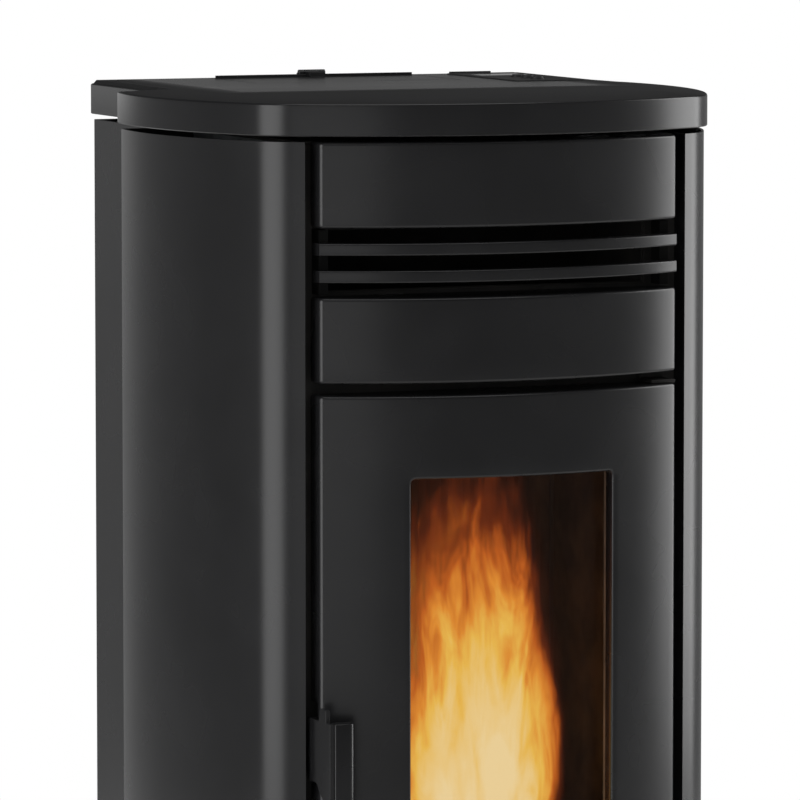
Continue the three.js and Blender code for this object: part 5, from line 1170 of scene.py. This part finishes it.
class STOVE_OT_flame(Operator):
    """Makes the flame above the burner pot"""

    bl_idname = "stove.flame"
    bl_label = "Flame"

    def execute(self, context):
        height = context.scene.stove_sizes.flame_height / MM
        rim = reach("burner_pot")[1][2]
        parts = []
        for dx, dy, share, width, phase in FLAME_BODIES:
            foot = (FLAME_MIDDLE[0] + dx, FLAME_MIDDLE[1] + dy, rim - FLAME_FOOT - dy)
            parts.append(flame_body(foot, rim + height * share, width, phase))
        finish_piece("flame", wrapped_mesh("flame", parts), ("root", "stove_glass"), "flame")
        return {"FINISHED"}


def studio_world(stage):
    """White where the camera, a mirror or glass sees the low white sweep behind the object, a dimmer
    room elsewhere in gloss, dark towards its ceiling, and an even light for the rest."""
    world = bpy.data.worlds.new("studio")
    world.use_nodes = True
    tree = world.node_tree
    tree.nodes.clear()
    coordinates = add(tree, "ShaderNodeTexCoord").outputs["Generated"]
    way = add(tree, "ShaderNodeSeparateXYZ", {"Vector": coordinates}).outputs
    behind = value_range(way["Y"], 0, 1, *SWEEP_BEHIND)
    low = value_range(way["Z"], 1, 0, *SWEEP_TOP)
    above = value_range(way["Z"], SWEEP_FOOT_SHARE, 1, *SWEEP_FOOT)
    sweep = reckon("MULTIPLY", behind, reckon("MULTIPLY", low, above))
    wall = stage.mirrored_room
    walls = value_range(way["Z"], wall, wall * CEILING_SHARE, *WALL_TOP)
    mirrored = value_range(sweep, walls, 1.0)
    light = value_range(any_ray(tree, "Is Glossy Ray"), stage.room, mirrored)
    strength = value_range(any_ray(tree, "Is Camera Ray", "Is Transmission Ray"), light, 1.0)
    background = add(tree, "ShaderNodeBackground", {"Color": "#ffffff", "Strength": strength})
    add(tree, "ShaderNodeOutputWorld", {"Surface": background.outputs["Background"]})
    return world


def pale_floor():
    """Pale matt studio floor that fades to the white surroundings 2.2 m from the object."""
    material, place = surface(
        "pale_floor", Base_Color="#e9e8e6", Roughness=0.9, Specular_IOR_Level=0.1)
    tree = material.node_tree
    seen = any_ray(tree, "Is Camera Ray", "Is Transmission Ray", "Is Glossy Ray")
    distance = add(tree, "ShaderNodeVectorMath", {0: place}, operation="LENGTH").outputs["Value"]
    far = value_range(distance, 0.0, 1.0, *FLOOR_FADE, interpolation_type="SMOOTHSTEP")
    white = add(tree, "ShaderNodeEmission", {"Color": "#ffffff", "Strength": 1.0}).outputs["Emission"]
    pale = tree.nodes["Principled BSDF"].outputs["BSDF"]
    mix = add(tree, "ShaderNodeMixShader", {0: reckon("MULTIPLY", seen, far), 1: pale, 2: white})
    tree.links.new(mix.outputs["Shader"], tree.nodes["Material Output"].inputs["Surface"])
    return material


class STOVE_OT_stage(Operator):
    """Makes the floor, the white surroundings, the lamps and the camera"""

    bl_idname = "stove.stage"
    bl_label = "Stage"

    def execute(self, context):
        stage = context.scene.stove_stage
        floor = bpy.data.meshes.new("floor")
        turn = np.linspace(0, 2 * np.pi, FLOOR_SIDES, endpoint=False)
        ring = FLOOR_RADIUS * np.column_stack((np.cos(turn), np.sin(turn)))
        floor.from_pydata(upright(ring, [FLOOR_Z])[0].tolist(), [], [list(range(FLOOR_SIDES))])
        floor.materials.append(pale_floor())
        plane = bpy.data.objects.new("floor", floor)
        context.scene.collection.objects.link(plane)
        context.scene.world = studio_world(stage)
        for name, (place, (width, height), setting) in LAMPS.items():
            lamp = bpy.data.lights.new(name, "AREA")
            lamp.shape = "RECTANGLE"
            lamp.size = width
            lamp.size_y = height
            lamp.energy = getattr(stage, setting)
            spot = bpy.data.objects.new(name, lamp)
            spot.location = place
            aim = Vector(LAMP_AIM) - Vector(place)
            spot.rotation_euler = aim.to_track_quat("-Z", "Y").to_euler()
            context.scene.collection.objects.link(spot)
        camera = bpy.data.cameras.new("camera")
        camera.sensor_width = SENSOR
        camera.lens = SENSOR * FOCAL_PIXELS / PICTURE_PIXELS
        camera.clip_end = 100
        view = bpy.data.objects.new("camera", camera)
        view.location = CAMERA_PLACE
        view.rotation_euler = (math.radians(90 - CAMERA_DOWN), 0, math.radians(-CAMERA_TURN))
        context.scene.collection.objects.link(view)
        context.scene.camera = view
        context.scene.view_settings.view_transform = "Standard"
        return {"FINISHED"}


STEPS = (STOVE_OT_cover, STOVE_OT_lips, STOVE_OT_side_panels, STOVE_OT_front_panels, STOVE_OT_louvre,
         STOVE_OT_door, STOVE_OT_handle, STOVE_OT_castings, STOVE_OT_flame, STOVE_OT_stage)


class STOVE_PT_panel(Panel):
    """Lists the stove's sizes, colours and pieces"""

    bl_label = "Pellet stove"
    bl_space_type = "VIEW_3D"
    bl_region_type = "UI"
    bl_category = "Stove"

    def draw(self, context):
        for group in GROUPS:
            values = getattr(context.scene, group)
            for key in values.bl_rna.properties.keys():
                if key not in ("rna_type", "name"):
                    self.layout.prop(values, key)
        for step in STEPS:
            self.layout.operator(step.bl_idname)


GROUPS = {"stove_sizes": StoveSizes, "stove_colours": StoveColours, "stove_stage": StoveStage}
CLASSES = (*GROUPS.values(), *STEPS, STOVE_PT_panel)


def register():
    for cls in CLASSES:
        bpy.utils.register_class(cls)
    for name, group in GROUPS.items():
        setattr(bpy.types.Scene, name, PointerProperty(type=group))


def unregister():
    for name in GROUPS:
        delattr(bpy.types.Scene, name)
    for cls in reversed(CLASSES):
        bpy.utils.unregister_class(cls)


def main():
    """Registers the add-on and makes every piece."""
    register()
    MATERIALS.update(finishes(bpy.context.scene.stove_colours))
    for step in STEPS:
        group, name = step.bl_idname.split(".")
        getattr(getattr(bpy.ops, group), name)()


if __name__ == "__main__":
    main()
